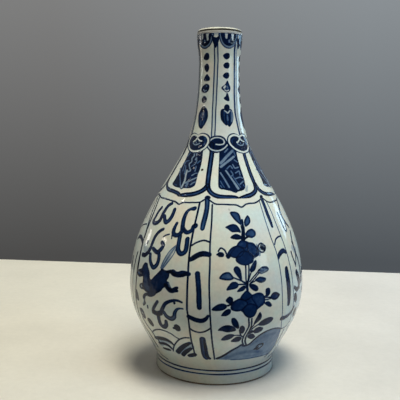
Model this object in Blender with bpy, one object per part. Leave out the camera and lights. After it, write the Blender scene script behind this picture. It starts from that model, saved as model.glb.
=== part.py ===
"""A pear-shaped porcelain bottle vase, built as a potter builds one: thrown in sections and luted together.

The foot ring, the lower body, the upper body and the neck are turned one by one. The foot ring seats
round a spigot under the lower body, the other joints are stepped laps, and a ring of slip fills each.
Metres, +Z up. The origin is the middle of the foot, on the ground.
"""

import math

import bmesh
import bpy
import numpy as np
from mathutils import Vector
from mathutils.geometry import interpolate_bezier

# The outline's stations, from the ground up: a radius at each, and the rise to the next
FOOT_RADIUS = 0.0500
FOOT_HEIGHT = 0.0121
FOOT_TO_BELLY = 0.0594
BELLY_RADIUS = 0.0727
BELLY_TO_SHOULDER = 0.1037
SHOULDER_RADIUS = 0.0322
SHOULDER_TO_WAIST = 0.0766
WAIST_RADIUS = 0.01665
WAIST_TO_LIP = 0.0241
LIP_RADIUS = 0.01855
LIP_ROUND = 0.0041

# How far the outline leans out for each unit that it rises, where it is not upright
FOOT_LEAN = 0.45
SHOULDER_LEAN = -0.574

# How full the curves are: each one's two handles, as shares of the rise that it covers
BOWL_FULLNESS = (0.32, 0.40)
BODY_FULLNESS = (0.41, 0.32)
NECK_FULLNESS = (0.29, 0.35)
FLARE_FULLNESS = (0.41, 0.41)

# Walls
BODY_WALL = 0.0042
NECK_WALL = 0.0032
FLOOR_RISE = 0.0040
FLOOR_ROUND = 0.0100
CREST_SHARE = 0.72

# The foot ring, its rim and the spigot that it seats round
FOOT_RING_WIDTH = 0.0075
FOOT_RIM_BEVEL = 0.0010
FOOT_INNER_FLARE = 0.0010
SPIGOT_DEPTH = 0.0036

# The luted joints
NECK_SEAM_RISE = 0.0130
LAP_HEIGHT = 0.0040
LAP_SHARE = 0.50
SLIP_HEIGHT = 0.0012
JOINT_GAP = 0.0003

# Facets round each piece, and points along each stretch of the outline
FACETS = 48
CURVE_POINTS = 80
BOWL_POINTS = 11
BODY_POINTS = 15
NECK_POINTS = 13
INNER_POINTS = 9
ROUND_POINTS = 5

# Heights that follow from the stations
BELLY_LEVEL = FOOT_HEIGHT + FOOT_TO_BELLY
SHOULDER_LEVEL = BELLY_LEVEL + BELLY_TO_SHOULDER
WAIST_LEVEL = SHOULDER_LEVEL + SHOULDER_TO_WAIST
LIP_LEVEL = WAIST_LEVEL + WAIST_TO_LIP
NECK_SEAM_LEVEL = SHOULDER_LEVEL + NECK_SEAM_RISE
FLOOR_LEVEL = FOOT_HEIGHT + FLOOR_RISE
BASE_LEVEL = FOOT_HEIGHT - SPIGOT_DEPTH


def curve_between(low, high, low_lean, high_lean, fullness, points):
    """Points on one smooth stretch between two (radius, height) stations, from the low one up."""
    rise = high[1] - low[1]
    low_handle = (low[0] + low_lean * fullness[0] * rise, low[1] + fullness[0] * rise)
    high_handle = (high[0] - high_lean * fullness[1] * rise, high[1] - fullness[1] * rise)
    ends = [Vector((radius, 0.0, height)) for radius, height in (low, low_handle, high_handle, high)]
    return [(point.x, point.z) for point in interpolate_bezier(*ends, points)]


def outer_outline():
    """The vase's outer side as arrays of height and radius, from the foot's bevel to where the lip rounds over."""
    foot = (FOOT_RADIUS, FOOT_HEIGHT)
    belly = (BELLY_RADIUS, BELLY_LEVEL)
    shoulder = (SHOULDER_RADIUS, SHOULDER_LEVEL)
    waist = (WAIST_RADIUS, WAIST_LEVEL)
    lip = (LIP_RADIUS, LIP_LEVEL)
    points = [(FOOT_RADIUS, FOOT_RIM_BEVEL)]
    points += curve_between(foot, belly, FOOT_LEAN, 0.0, BOWL_FULLNESS, CURVE_POINTS)
    points += curve_between(belly, shoulder, 0.0, SHOULDER_LEAN, BODY_FULLNESS, CURVE_POINTS)[1:]
    points += curve_between(shoulder, waist, SHOULDER_LEAN, 0.0, NECK_FULLNESS, CURVE_POINTS)[1:]
    points += curve_between(waist, lip, 0.0, 0.0, FLARE_FULLNESS, CURVE_POINTS)[1:]
    radii, heights = np.array(points).T
    return heights, radii


OUTLINE_HEIGHTS, OUTLINE_RADII = outer_outline()
OUTLINE_LEANS = np.gradient(OUTLINE_RADII, OUTLINE_HEIGHTS)


def outer_radius(height):
    """Radius of the outer side at a height."""
    return float(np.interp(height, OUTLINE_HEIGHTS, OUTLINE_RADII))


def level_wall(height):
    """The wall measured level: its true thickness, which thins towards the waist, over the cosine of its lean."""
    true_wall = np.interp(height, (SHOULDER_LEVEL, WAIST_LEVEL), (BODY_WALL, NECK_WALL))
    lean = np.interp(height, OUTLINE_HEIGHTS, OUTLINE_LEANS)
    return float(true_wall * math.hypot(1.0, lean))


def inner_radius(height):
    """Radius of the inner side at a height."""
    return outer_radius(height) - level_wall(height)


def tongue_radius(height):
    """Radius of the outward face of a lap's tongue, which is the inner part of the wall."""
    return outer_radius(height) - LAP_SHARE * level_wall(height)


def rebate_radius(height):
    """Radius of the face that closes round a tongue."""
    return tongue_radius(height) + JOINT_GAP


def side(radius_at, low, high, points):
    """Points up one side of the wall, evenly spaced in height."""
    return [(radius_at(height), height) for height in np.linspace(low, high, points)]


def lap_tongue(seam):
    """Top edge of the section below a seam, from its inner side to its outer one."""
    tip = seam + SLIP_HEIGHT / 2 + LAP_HEIGHT
    step = seam - SLIP_HEIGHT / 2 - JOINT_GAP
    return [(inner_radius(tip), tip), (tongue_radius(tip), tip), (tongue_radius(step), step)], step


def lap_rebate(seam):
    """Bottom edge of the section above a seam, from its outer side to its inner one."""
    edge = seam + SLIP_HEIGHT / 2 + JOINT_GAP
    recess = seam + SLIP_HEIGHT / 2 + LAP_HEIGHT + JOINT_GAP
    return [(rebate_radius(edge), edge), (rebate_radius(recess), recess)], edge, recess


def turn(name, outline, seat, material, closed=True):
    """One piece off the wheel: an outline of (radius, height) points, spun about Z and placed at its seat."""
    work = bmesh.new()
    points = [work.verts.new((radius, 0.0, height - seat)) for radius, height in outline]
    following = points[1:] + points[:1] if closed else points[1:]
    edges = [work.edges.new(pair) for pair in zip(points, following)]
    bmesh.ops.spin(
        work,
        geom=points + edges,
        cent=(0.0, 0.0, 0.0),
        axis=(0.0, 0.0, 1.0),
        angle=math.tau,
        steps=FACETS,
        use_merge=True,
    )
    bmesh.ops.remove_doubles(work, verts=work.verts[:], dist=1e-6)
    bmesh.ops.recalc_face_normals(work, faces=work.faces[:])
    mesh = bpy.data.meshes.new(name)
    work.to_mesh(mesh)
    work.free()
    mesh.shade_smooth()
    mesh.set_sharp_from_angle(angle=math.radians(35.0))
    mesh.materials.append(material)
    piece = bpy.data.objects.new(name, mesh)
    piece.location = (0.0, 0.0, seat)
    bpy.context.scene.collection.objects.link(piece)
    return piece


def clay(name, colour, roughness):
    """A fired clay or glaze, as one Principled material."""
    material = bpy.data.materials.new(name)
    material.use_nodes = True
    shader = material.node_tree.nodes["Principled BSDF"]
    shader.inputs["Base Color"].default_value = (*colour, 1.0)
    shader.inputs["Roughness"].default_value = roughness
    shader.inputs["Metallic"].default_value = 0.0
    return material


def foot_ring(material):
    """The ring that the vase stands on: a flat rim with bevelled edges, and an inner wall that flares to it."""
    top = FOOT_HEIGHT - SLIP_HEIGHT / 2 - JOINT_GAP
    bore = FOOT_RADIUS - FOOT_RING_WIDTH
    rim_bore = bore + FOOT_INNER_FLARE
    outline = [
        (bore, top),
        (FOOT_RADIUS, top),
        (FOOT_RADIUS, FOOT_RIM_BEVEL),
        (FOOT_RADIUS - FOOT_RIM_BEVEL, 0.0),
        (rim_bore + FOOT_RIM_BEVEL, 0.0),
        (rim_bore, FOOT_RIM_BEVEL),
        (bore, BASE_LEVEL - JOINT_GAP),
    ]
    return turn("foot_ring", outline, 0.0, material)


def foot_slip(material):
    """The slip between the foot ring and the lower body, as wide as the ring."""
    low = FOOT_HEIGHT - SLIP_HEIGHT / 2
    high = FOOT_HEIGHT + SLIP_HEIGHT / 2
    bore = FOOT_RADIUS - FOOT_RING_WIDTH
    outline = [
        (bore, high),
        (outer_radius(high), high),
        (FOOT_RADIUS, FOOT_HEIGHT),
        (FOOT_RADIUS, low),
        (bore, low),
    ]
    return turn("foot_seam", outline, low, material)


def lower_body(material):
    """The bowl: a floor with a rounded corner, walls up to the girth, and the spigot that the foot ring fits."""
    tongue, step = lap_tongue(BELLY_LEVEL)
    corner = FLOOR_LEVEL + FLOOR_ROUND
    underside = FOOT_HEIGHT + SLIP_HEIGHT / 2 + JOINT_GAP
    spigot = FOOT_RADIUS - FOOT_RING_WIDTH - JOINT_GAP
    corner_lean = np.interp(corner, OUTLINE_HEIGHTS, OUTLINE_LEANS)
    floor_edge = inner_radius(corner) - (1.0 + corner_lean) * FLOOR_ROUND
    corner_ends = [
        Vector((floor_edge, 0.0, FLOOR_LEVEL)),
        Vector((floor_edge + 0.6 * FLOOR_ROUND, 0.0, FLOOR_LEVEL)),
        Vector((inner_radius(corner) - 0.5 * corner_lean * FLOOR_ROUND, 0.0, corner - 0.5 * FLOOR_ROUND)),
        Vector((inner_radius(corner), 0.0, corner)),
    ]
    outline = [(0.0, FLOOR_LEVEL)]
    outline += [(point.x, point.z) for point in interpolate_bezier(*corner_ends, ROUND_POINTS)]
    outline += side(inner_radius, corner, tongue[0][1], INNER_POINTS)[1:-1]
    outline += tongue
    outline += side(outer_radius, step, underside, BOWL_POINTS)
    outline += [(spigot, underside), (spigot, BASE_LEVEL), (0.0, BASE_LEVEL)]
    return turn("lower_body", outline, BASE_LEVEL, material, closed=False)


def upper_body(material):
    """The upper half of the body, from the girth up over the shoulder to where the neck is luted on."""
    rebate, edge, recess = lap_rebate(BELLY_LEVEL)
    tongue, step = lap_tongue(NECK_SEAM_LEVEL)
    outline = side(inner_radius, recess, tongue[0][1], INNER_POINTS)[:-1]
    outline += tongue
    outline += side(outer_radius, step, edge, BODY_POINTS)
    outline += rebate
    return turn("upper_body", outline, edge, material)


def neck(material):
    """The neck, from its luted foot through the narrow waist to the flared mouth with its rounded lip."""
    rebate, edge, recess = lap_rebate(NECK_SEAM_LEVEL)
    crest = LIP_RADIUS - CREST_SHARE * NECK_WALL
    mouth = inner_radius(LIP_LEVEL)
    angles = np.linspace(0.0, math.pi / 2, ROUND_POINTS)
    inner_round = [(crest - (crest - mouth) * math.cos(a), LIP_LEVEL + LIP_ROUND * math.sin(a)) for a in angles]
    outer_round = [
        (crest + (LIP_RADIUS - crest) * math.sin(a), LIP_LEVEL + LIP_ROUND * math.cos(a)) for a in angles
    ]
    outline = side(inner_radius, recess, LIP_LEVEL, INNER_POINTS)[:-1]
    outline += inner_round
    outline += outer_round[1:-1]
    outline += side(outer_radius, LIP_LEVEL, edge, NECK_POINTS)
    outline += rebate
    return turn("neck", outline, edge, material)


def lap_slip(name, seam, material):
    """The slip that fills a stepped joint outside its tongue, flush with the wall."""
    low = seam - SLIP_HEIGHT / 2
    high = seam + SLIP_HEIGHT / 2
    outline = [
        (rebate_radius(high), high),
        (outer_radius(high), high),
        (outer_radius(low), low),
        (rebate_radius(low), low),
    ]
    return turn(name, outline, low, material)


def build():
    """Clears the scene and makes the vase, with every section parented to one empty at the origin."""
    for old in list(bpy.data.objects):
        bpy.data.objects.remove(old)
    bare = clay("bare_porcelain", (0.62, 0.47, 0.33), 0.75)
    slip = clay("luting_slip", (0.78, 0.75, 0.68), 0.80)
    pieces = [
        foot_ring(bare),
        foot_slip(slip),
        lower_body(clay("bowl_glaze", (0.78, 0.80, 0.76), 0.16)),
        lap_slip("girth_seam", BELLY_LEVEL, slip),
        upper_body(clay("shoulder_glaze", (0.80, 0.82, 0.80), 0.14)),
        lap_slip("neck_seam", NECK_SEAM_LEVEL, slip),
        neck(clay("neck_glaze", (0.82, 0.84, 0.82), 0.12)),
    ]
    vase = bpy.data.objects.new("vase", None)
    bpy.context.scene.collection.objects.link(vase)
    for piece in pieces:
        piece.parent = vase


build()
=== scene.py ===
"""The looks of a pear-shaped porcelain bottle vase: blue painting in six panels under a clear glaze.

The sections follow the vase from the ground up. Every painted surface is a turned skin, unrolled into a
sheet that the brush works on: x in mm round the vase from a meridian, s in mm up the skin from the ground.
"""

import math

import bpy
import numpy as np
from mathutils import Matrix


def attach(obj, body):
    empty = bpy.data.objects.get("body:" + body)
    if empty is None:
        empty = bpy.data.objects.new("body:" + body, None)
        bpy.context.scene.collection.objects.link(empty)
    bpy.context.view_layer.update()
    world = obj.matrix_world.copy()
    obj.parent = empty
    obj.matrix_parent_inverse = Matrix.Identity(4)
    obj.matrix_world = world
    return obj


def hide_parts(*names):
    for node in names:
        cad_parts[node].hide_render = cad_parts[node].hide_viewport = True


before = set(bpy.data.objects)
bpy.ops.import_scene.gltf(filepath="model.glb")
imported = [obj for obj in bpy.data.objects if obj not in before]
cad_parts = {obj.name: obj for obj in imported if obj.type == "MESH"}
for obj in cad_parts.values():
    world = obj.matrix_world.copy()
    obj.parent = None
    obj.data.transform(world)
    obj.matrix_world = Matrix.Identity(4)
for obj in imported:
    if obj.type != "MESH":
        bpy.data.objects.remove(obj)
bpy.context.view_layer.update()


# Foot wall
# The outer side of the turned foot ring, upright and glazed like the body above it.
# Two fine blue rings run round it: one in the corner under the body, and one a little lower.

MM = 0.001
STATIONS = {
    "foot": (50.0, 12.1),
    "belly": (72.7, 71.5),
    "shoulder": (32.2, 175.2),
    "waist": (16.65, 251.8),
    "lip": (18.55, 275.9),
}
FOOT_LEAN = 0.45
SHOULDER_LEAN = -0.574
LIP_ROUND = 4.1
LIP_CREST_IN = 2.3
CREASE_BLUR = 0.6
OUTLINE_STEP = 0.1


def stretch(low, high, low_lean, high_lean, fullness):
    """One smooth stretch of outline between two (radius, height) stations: the cubic Bezier curve whose two
    handles rise by the given shares of the stretch's rise and move out by the lean times that rise."""
    t = np.linspace(0.0, 1.0, 400)[1:, None]
    low, high = np.array(low), np.array(high)
    rise = high[1] - low[1]
    low_handle = low + np.array((low_lean, 1.0)) * fullness[0] * rise
    high_handle = high - np.array((high_lean, 1.0)) * fullness[1] * rise
    return (
        (1 - t) ** 3 * low
        + 3 * (1 - t) ** 2 * t * low_handle
        + 3 * (1 - t) * t**2 * high_handle
        + t**3 * high
    )


def outline():
    """The outer outline as arc length, radius and height in mm, from the ground to the lip's crest. A
    running Gaussian mean rounds the crease over the foot, as the glaze that pools there does."""
    foot, belly, shoulder, waist, lip = STATIONS.values()
    turn = np.linspace(0.0, math.pi / 2, 60)[1:]
    lip_curve = np.column_stack(
        (lip[0] - LIP_CREST_IN * (1 - np.cos(turn)), lip[1] + LIP_ROUND * np.sin(turn))
    )
    points = np.concatenate(
        (
            [(foot[0], 0.0), foot],
            stretch(foot, belly, FOOT_LEAN, 0.0, (0.32, 0.40)),
            stretch(belly, shoulder, 0.0, SHOULDER_LEAN, (0.41, 0.32)),
            stretch(shoulder, waist, SHOULDER_LEAN, 0.0, (0.29, 0.35)),
            stretch(waist, lip, 0.0, 0.0, (0.41, 0.41)),
            lip_curve,
        )
    )
    arc = np.concatenate(([0.0], np.cumsum(np.hypot(*np.diff(points, axis=0).T))))
    levels = np.arange(0.0, arc[-1], OUTLINE_STEP)
    levels = np.append(levels, arc[-1])
    radius = np.interp(levels, arc, points[:, 0])
    height = np.interp(levels, arc, points[:, 1])
    reach = np.arange(-20, 21) * OUTLINE_STEP
    weights = np.exp(-0.5 * (reach / CREASE_BLUR) ** 2)
    blurred = np.convolve(np.pad(radius, 20, mode="edge"), weights / weights.sum(), mode="valid")
    near_crease = np.exp(-(((levels - foot[1]) / 3.0) ** 4))
    return levels, radius + (blurred - radius) * near_crease, height


OUTLINE = outline()
CREST = float(OUTLINE[0][-1])


def radius_at(level):
    """Radius of the skin in mm at an arc length up it."""
    return np.interp(level, OUTLINE[0], OUTLINE[1])


def height_at(level):
    """Height of the skin in mm at an arc length up it."""
    return np.interp(level, OUTLINE[0], OUTLINE[2])


def smooth(value):
    """0 below 0, 1 above 1, and the cubic 3v^2 - 2v^3 between."""
    value = np.clip(value, 0.0, 1.0)
    return value * value * (3.0 - 2.0 * value)


def through(points, closed=False, parts=6):
    """A smooth line through the given points: between two neighbours each column is the cubic whose slope
    at a point is half the way from the point before it to the point after it."""
    p = np.asarray(points, float)
    if closed:
        p = np.concatenate((p[-1:], p, p[:2]))
    else:
        p = np.concatenate((2 * p[:1] - p[1:2], p, 2 * p[-1:] - p[-2:-1]))
    before, start, end, after = (p[i : len(p) - 3 + i, None, :] for i in range(4))
    t = np.linspace(0.0, 1.0, parts, endpoint=False)[None, :, None]
    line = 0.5 * (
        2 * start
        + (end - before) * t
        + (2 * before - 5 * start + 4 * end - after) * t**2
        + (3 * start - before - 3 * end + after) * t**3
    )
    return np.concatenate((line.reshape(-1, p.shape[1]), p[-2:-1]))


class Sheet:
    """A patch of skin unrolled: angles in degrees along its columns, arc length in mm along its rows. Its
    ink is the strength of the blue on each crossing, from 0 to 1, and its iron that of the brown. Every
    mark fades over BLUR mm at its edge, and has spread by BLEED mm there as the glaze melted. A stroke's
    strength climbs to its rim's by the power RIM_CURVE, and is there from the share RIM_FROM of its half
    width outwards. Long strokes are measured STRETCH steps at a time, to save memory."""

    BLUR = 0.40
    BLEED = 0.12
    RIM_FROM = 0.82
    RIM_CURVE = 1.7
    STRETCH = 24

    def __init__(self, first, last, low, high, pitch):
        widest = radius_at(np.linspace(low, high, 60)).max()
        columns = math.ceil(math.radians(last - first) * widest / pitch) + 1
        rows = math.ceil((high - low) / pitch) + 1
        self.closed = last - first > 359.9
        self.angles = np.linspace(first, last, columns)
        self.levels = np.linspace(low, high, rows)
        self.radii = radius_at(self.levels)
        self.ink = np.zeros((rows, columns))
        self.iron = np.zeros((rows, columns))

    def near(self, centre, line, margin):
        """The crossings near a line drawn about the meridian centre, and their x and s, or None if there
        are none. The centre is one angle, or (levels, angles) where the painter's meridian leans."""
        low, high = line[:, :2].min(axis=0) - margin, line[:, :2].max(axis=0) + margin
        rows = np.nonzero((self.levels > low[1]) & (self.levels < high[1]))[0]
        if len(rows) == 0:
            return None
        leans = isinstance(centre, tuple)
        middle = np.interp(self.levels[rows], *centre) if leans else np.full(len(rows), centre)
        turn = (self.angles[None, :] - middle[:, None] + 180.0) % 360.0 - 180.0
        x = np.radians(turn) * self.radii[rows, None]
        columns = np.nonzero(((x > low[0]) & (x < high[0])).any(axis=0))[0]
        if len(columns) == 0:
            return None
        x = x[:, columns]
        return np.ix_(rows, columns), x, np.broadcast_to(self.levels[rows, None], x.shape)

    def measure(self, x, s, line):
        """Signed distance of each crossing from the edge of a stroke along the line, whose third column
        is its half width, and how far out of the stroke's middle it is, from 0 to 1 at the edge."""
        a, b = line[:-1], line[1:]
        step = b - a
        length = np.maximum((step[:, :2] ** 2).sum(axis=1), 1e-9)
        along = (x[..., None] - a[:, 0]) * step[:, 0] + (s[..., None] - a[:, 1]) * step[:, 1]
        t = np.clip(along / length, 0, 1)
        away = np.hypot(x[..., None] - a[:, 0] - t * step[:, 0], s[..., None] - a[:, 1] - t * step[:, 1])
        half = a[:, 2] + t * step[:, 2]
        edge = away - half
        best = edge.argmin(axis=-1)[..., None]
        edge = np.take_along_axis(edge, best, -1)[..., 0]
        half = np.take_along_axis(half, best, -1)[..., 0]
        return edge, np.clip(1.0 + edge / half, 0.0, 1.0)

    def stroke(self, centre, points, width, core=1.0, rim=1.0, lift=None, coat="ink"):
        """One brush stroke through flat (x, s) pairs. The width is one number, or several spread evenly
        along it, and the ink runs from the core's strength to the rim's. With lift, the stroke leaves
        that strength instead of adding its own."""
        points = np.reshape(points, (-1, 2))
        widths = np.atleast_1d(width)
        along = np.linspace(0, 1, len(points))
        half = np.interp(along, np.linspace(0, 1, len(widths)), widths / 2.0 + self.BLEED)
        line = through(np.column_stack((points, half)))
        area = self.near(centre, line, half.max() + self.BLUR)
        if area is None:
            return
        where, x, s = area
        edge, out = np.full(x.shape, 99.0), np.ones(x.shape)
        for start in range(0, len(line) - 1, self.STRETCH):
            part_edge, part_out = self.measure(x, s, line[start : start + self.STRETCH + 1])
            out = np.where(part_edge < edge, part_out, out)
            edge = np.minimum(part_edge, edge)
        cover = smooth(0.5 - edge / self.BLUR)
        strength = core + (rim - core) * np.minimum(out / self.RIM_FROM, 1.0) ** self.RIM_CURVE
        self.lay(coat, where, cover, strength, lift)

    def draw(self, centre, marks, place=np.array):
        """Several strokes of (points, width), with the core's and the rim's strength after them where
        those are not full. Place gives the points of this copy of them."""
        for points, *brush in marks:
            self.stroke(centre, place(points), *brush)

    def lift_out(self, centre, marks, place=np.array):
        """Several strokes of (points, width, strength) that leave that strength."""
        for points, width, strength in marks:
            self.stroke(centre, place(points), width, lift=strength)

    def shape(self, centre, points, wash=0.80, rim=1.0, rim_width=0.9, lift=None, coat="ink"):
        """One filled shape with its outline through flat (x, s) pairs: a wash inside, darker towards the
        rim by a bell curve of the depth. A crossing is inside where a ray along x crosses the outline an
        odd number of times."""
        line = through(np.reshape(points, (-1, 2)), closed=True)
        area = self.near(centre, line, self.BLUR)
        if area is None:
            return
        where, x, s = area
        edge, _ = self.measure(x, s, np.column_stack((line, np.full(len(line), 1e-6))))
        a, b = line[:-1], line[1:]
        spans = (a[:, 1] > s[..., None]) != (b[:, 1] > s[..., None])
        rise = np.where(b[:, 1] == a[:, 1], 1e-9, b[:, 1] - a[:, 1])
        crossing = a[:, 0] + (s[..., None] - a[:, 1]) / rise * (b[:, 0] - a[:, 0])
        inside = (spans & (x[..., None] < crossing)).sum(axis=-1) % 2 == 1
        depth = np.where(inside, edge, -edge)
        cover = smooth(0.5 + (depth + self.BLEED) / self.BLUR)
        strength = wash + (rim - wash) * np.exp(-((np.maximum(depth, 0.0) / rim_width) ** 2))
        self.lay(coat, where, cover, strength, lift)

    def ring(self, level, width, strength, coat="ink", sway=0.0):
        """A line drawn right round the vase on the wheel. It wanders and swells by the sway in mm."""
        turn = np.radians(self.angles)[None, :]
        middle = level + sway * np.sin(2 * turn + 1.0)
        half = width / 2 + sway * np.sin(5 * turn) * np.sin(3 * turn + 2.0)
        cover = smooth(0.5 - (np.abs(self.levels[:, None] - middle) - half) / self.BLUR)
        field = getattr(self, coat)
        field[:] = np.maximum(field, cover * strength)

    def lay(self, coat, where, cover, strength, lift):
        """Adds ink where the stroke is the stronger, or takes it down to the lift."""
        field = getattr(self, coat)
        if lift is None:
            field[where] = np.maximum(field[where], cover * strength)
        else:
            field[where] = field[where] * (1 - cover) + lift * cover


def put_in_scene(name, points, faces, uv, material, nodes, coats=None):
    mesh = bpy.data.meshes.new(name)
    mesh.from_pydata(points, [], faces)
    if uv is not None:
        mesh.uv_layers.new(name="OFBake").data.foreach_set("uv", np.asarray(uv, np.float32).ravel())
    for coat, values in (coats or {}).items():
        strengths = mesh.attributes.new(coat, "FLOAT", "POINT").data
        strengths.foreach_set("value", values.astype(np.float32).ravel())
    mesh.materials.append(material)
    mesh.shade_smooth()
    mesh.validate()
    piece = bpy.data.objects.new(name, mesh)
    bpy.context.scene.collection.objects.link(piece)
    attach(piece, "root")
    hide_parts(*nodes)


def grid_faces(rows, columns, closed):
    """Quads of a grid with rows along one side and columns along the other, and their corners' places on a
    unit square. A closed grid joins its last column of faces to the first column of points."""
    around = columns if closed else columns - 1
    row, column = np.mgrid[0 : rows - 1, 0:around]
    row, column = row.ravel(), column.ravel()
    corners = np.array(((0, 0), (0, 1), (1, 1), (1, 0)))
    r = row[:, None] + corners[:, 0]
    c = column[:, None] + corners[:, 1]
    faces = r * columns + c % columns
    uv = np.stack((c / around, r / (rows - 1)), axis=-1)
    return faces, uv.reshape(-1, 2)


def skin(name, sheet, material, nodes):
    """The painted sheet rolled back up: the point at angle a and level s is radius(s) out from the axis in
    the direction a, at height(s). Angle 0 faces -Y and 90 faces +X."""
    closed = sheet.closed
    angles = np.radians(sheet.angles[:-1] if closed else sheet.angles)
    ink = sheet.ink[:, :-1] if closed else sheet.ink
    iron = sheet.iron[:, :-1] if closed else sheet.iron
    radii, heights = sheet.radii[:, None] * MM, height_at(sheet.levels)[:, None] * MM
    points = np.stack(
        (radii * np.sin(angles), -radii * np.cos(angles), np.broadcast_to(heights, ink.shape)), axis=-1
    )
    faces, uv = grid_faces(len(sheet.levels), len(angles), closed)
    coats = {"ink": ink, "iron": iron}
    put_in_scene(name, points.reshape(-1, 3), faces, uv, material, nodes, coats)


class Recipe:
    """The node tree of a new material or world, with short ways to add a node and to join it to others."""

    def __init__(self, owner):
        self.owner = owner
        owner.use_nodes = True
        self.tree = owner.node_tree
        self.shader = self.tree.nodes.get("Principled BSDF")

    def add(self, kind, settings=None, **inputs):
        """Adds a node of a kind. A keyword names an input, with _ for a space, and what goes into it."""
        node = self.tree.nodes.new(kind)
        for key, value in (settings or {}).items():
            setattr(node, key, value)
        for key, value in inputs.items():
            self.set(node, key.replace("_", " "), value)
        return node

    def set(self, node, key, value):
        """Sets one input, by its name or number, to a value or to another node's socket."""
        socket = node.inputs[int(key) if key.isdigit() else key]
        if isinstance(value, bpy.types.NodeSocket):
            self.tree.links.new(value, socket)
        else:
            socket.default_value = value

    def place(self):
        """The point on the piece, in metres."""
        return self.add("ShaderNodeTexCoord").outputs["Object"]

    def noise(self, where, scale, detail=3.0, roughness=0.5):
        """The strength of a cloudy pattern, around one half."""
        node = self.add("ShaderNodeTexNoise", Vector=where, Scale=scale, Detail=detail, Roughness=roughness)
        return node.outputs["Fac"]

    def spread(self, value, low, high, to_low=0.0, to_high=1.0):
        """A value moved from one range to another and held there."""
        node = self.add("ShaderNodeMapRange", Value=value)
        for key, number in (("From Min", low), ("From Max", high), ("To Min", to_low), ("To Max", to_high)):
            node.inputs[key].default_value = number
        return node.outputs["Result"]

    def maths(self, operation, first, second=0.0):
        """One sum of two values or sockets."""
        node = self.add("ShaderNodeMath", {"operation": operation})
        self.set(node, "0", first)
        self.set(node, "1", second)
        return node.outputs[0]

    def mix(self, share, first, second, blend="MIX"):
        """Two colours mixed by a share."""
        node = self.add("ShaderNodeMix", {"data_type": "RGBA", "blend_type": blend})
        for number, value in ((0, share), (6, first), (7, second)):
            value = (*value, 1.0) if isinstance(value, tuple) and len(value) == 3 else value
            self.set(node, str(number), value)
        return node.outputs[2]

    def bump(self, height, strength, distance, under=None):
        """The slopes of a relief that follows a pattern, over another relief's where there is one."""
        node = self.add("ShaderNodeBump", Height=height, Strength=strength, Distance=distance)
        if under is not None:
            self.set(node, "Normal", under)
        return node.outputs[0]

    def ramp(self, value, stops):
        """A colour ramp through (place, colour) stops."""
        node = self.add("ShaderNodeValToRGB", Fac=value)
        elements = node.color_ramp.elements
        for number, (place, colour) in enumerate(stops):
            element = elements[number] if number < 2 else elements.new(place)
            element.position = place
            element.color = (*colour, 1.0)
        return node.outputs["Color"]


GLAZE_WARM = (0.690, 0.690, 0.580)
GLAZE_COOL = (0.630, 0.690, 0.665)
PINHOLE = (0.20, 0.17, 0.12)
PINHOLE_CHANCE = 0.07
# Painted shade: the glaze keeps this share of its colour below the first height (m), all of it above the
# second.
UNDER_BELLY_SHADE = (0.014, 0.038, 0.54)
GLAZE_IOR = 1.34
COBALT_STOPS = (
    (0.00, (0.38, 0.46, 0.49)),
    (0.25, (0.170, 0.240, 0.320)),
    (0.45, (0.029, 0.074, 0.168)),
    (0.62, (0.004, 0.021, 0.080)),
    (0.80, (0.0010, 0.0085, 0.040)),
    (1.00, (0.0006, 0.0040, 0.015)),
)
IRON_STOPS = (
    (0.00, (0.54, 0.54, 0.51)),
    (0.35, (0.35, 0.345, 0.32)),
    (0.70, (0.085, 0.075, 0.045)),
    (1.00, (0.022, 0.020, 0.015)),
)


def glaze_colour(recipe, place):
    """Bluish-white glaze, warmer in broad clouds and faintly pink or green in smaller ones, with a few
    pinholes. It is darker on the foot and low under the belly, as painted shade."""
    clouds = recipe.spread(recipe.noise(place, 26.0, 2.0), 0.38, 0.62)
    colour = recipe.mix(clouds, GLAZE_WARM, GLAZE_COOL)
    stain = recipe.spread(recipe.noise(place, 85.0, 2.0), 0.36, 0.64)
    colour = recipe.mix(1.0, colour, recipe.mix(stain, (1.04, 0.98, 0.95), (0.97, 1.02, 1.01)), "MULTIPLY")
    fine = recipe.spread(recipe.noise(place, 420.0, 4.0), 0.30, 0.70, 0.94, 1.03)
    colour = recipe.mix(1.0, colour, fine, "MULTIPLY")
    # Painted shade: darker towards the foot and under the belly's overhang.
    height = recipe.add("ShaderNodeSeparateXYZ", Vector=place).outputs["Z"]
    under_belly_shade = recipe.spread(height, *UNDER_BELLY_SHADE, 1.0)
    colour = recipe.mix(1.0, colour, under_belly_shade, "MULTIPLY")
    pits = recipe.add("ShaderNodeTexVoronoi", Vector=place, Scale=95.0)
    pit = recipe.spread(pits.outputs["Distance"], 0.045, 0.075, 1.0, 0.0)
    chance = recipe.add("ShaderNodeSeparateColor", Color=pits.outputs["Color"]).outputs[0]
    pit = recipe.maths("MULTIPLY", pit, recipe.maths("GREATER_THAN", chance, 1.0 - PINHOLE_CHANCE))
    return recipe.mix(recipe.maths("MULTIPLY", pit, 0.55), colour, PINHOLE)


def glaze_surface(recipe, place, ink=0.0):
    """The glaze's gloss: low waves left by the wheel, a fine orange-peel skin, and lumps where it lies over
    thick ink, all as bump."""
    stretched = recipe.add("ShaderNodeMapping", Vector=place, Scale=(10.0, 10.0, 150.0)).outputs[0]
    waves = recipe.noise(stretched, 1.0, 1.0)
    peel = recipe.noise(place, 330.0, 2.0)
    lumps = recipe.maths("MULTIPLY", recipe.noise(place, 260.0, 2.0), ink)
    relief = recipe.bump(waves, 0.30, 0.0005)
    relief = recipe.bump(lumps, 0.6, 0.0006, relief)
    relief = recipe.bump(peel, 0.45, 0.00012, relief)
    recipe.set(recipe.shader, "Normal", relief)
    roughness = recipe.spread(recipe.noise(place, 60.0), 0.3, 0.7, 0.045, 0.085)
    recipe.set(recipe.shader, "Roughness", roughness)
    recipe.set(recipe.shader, "IOR", GLAZE_IOR)


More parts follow.
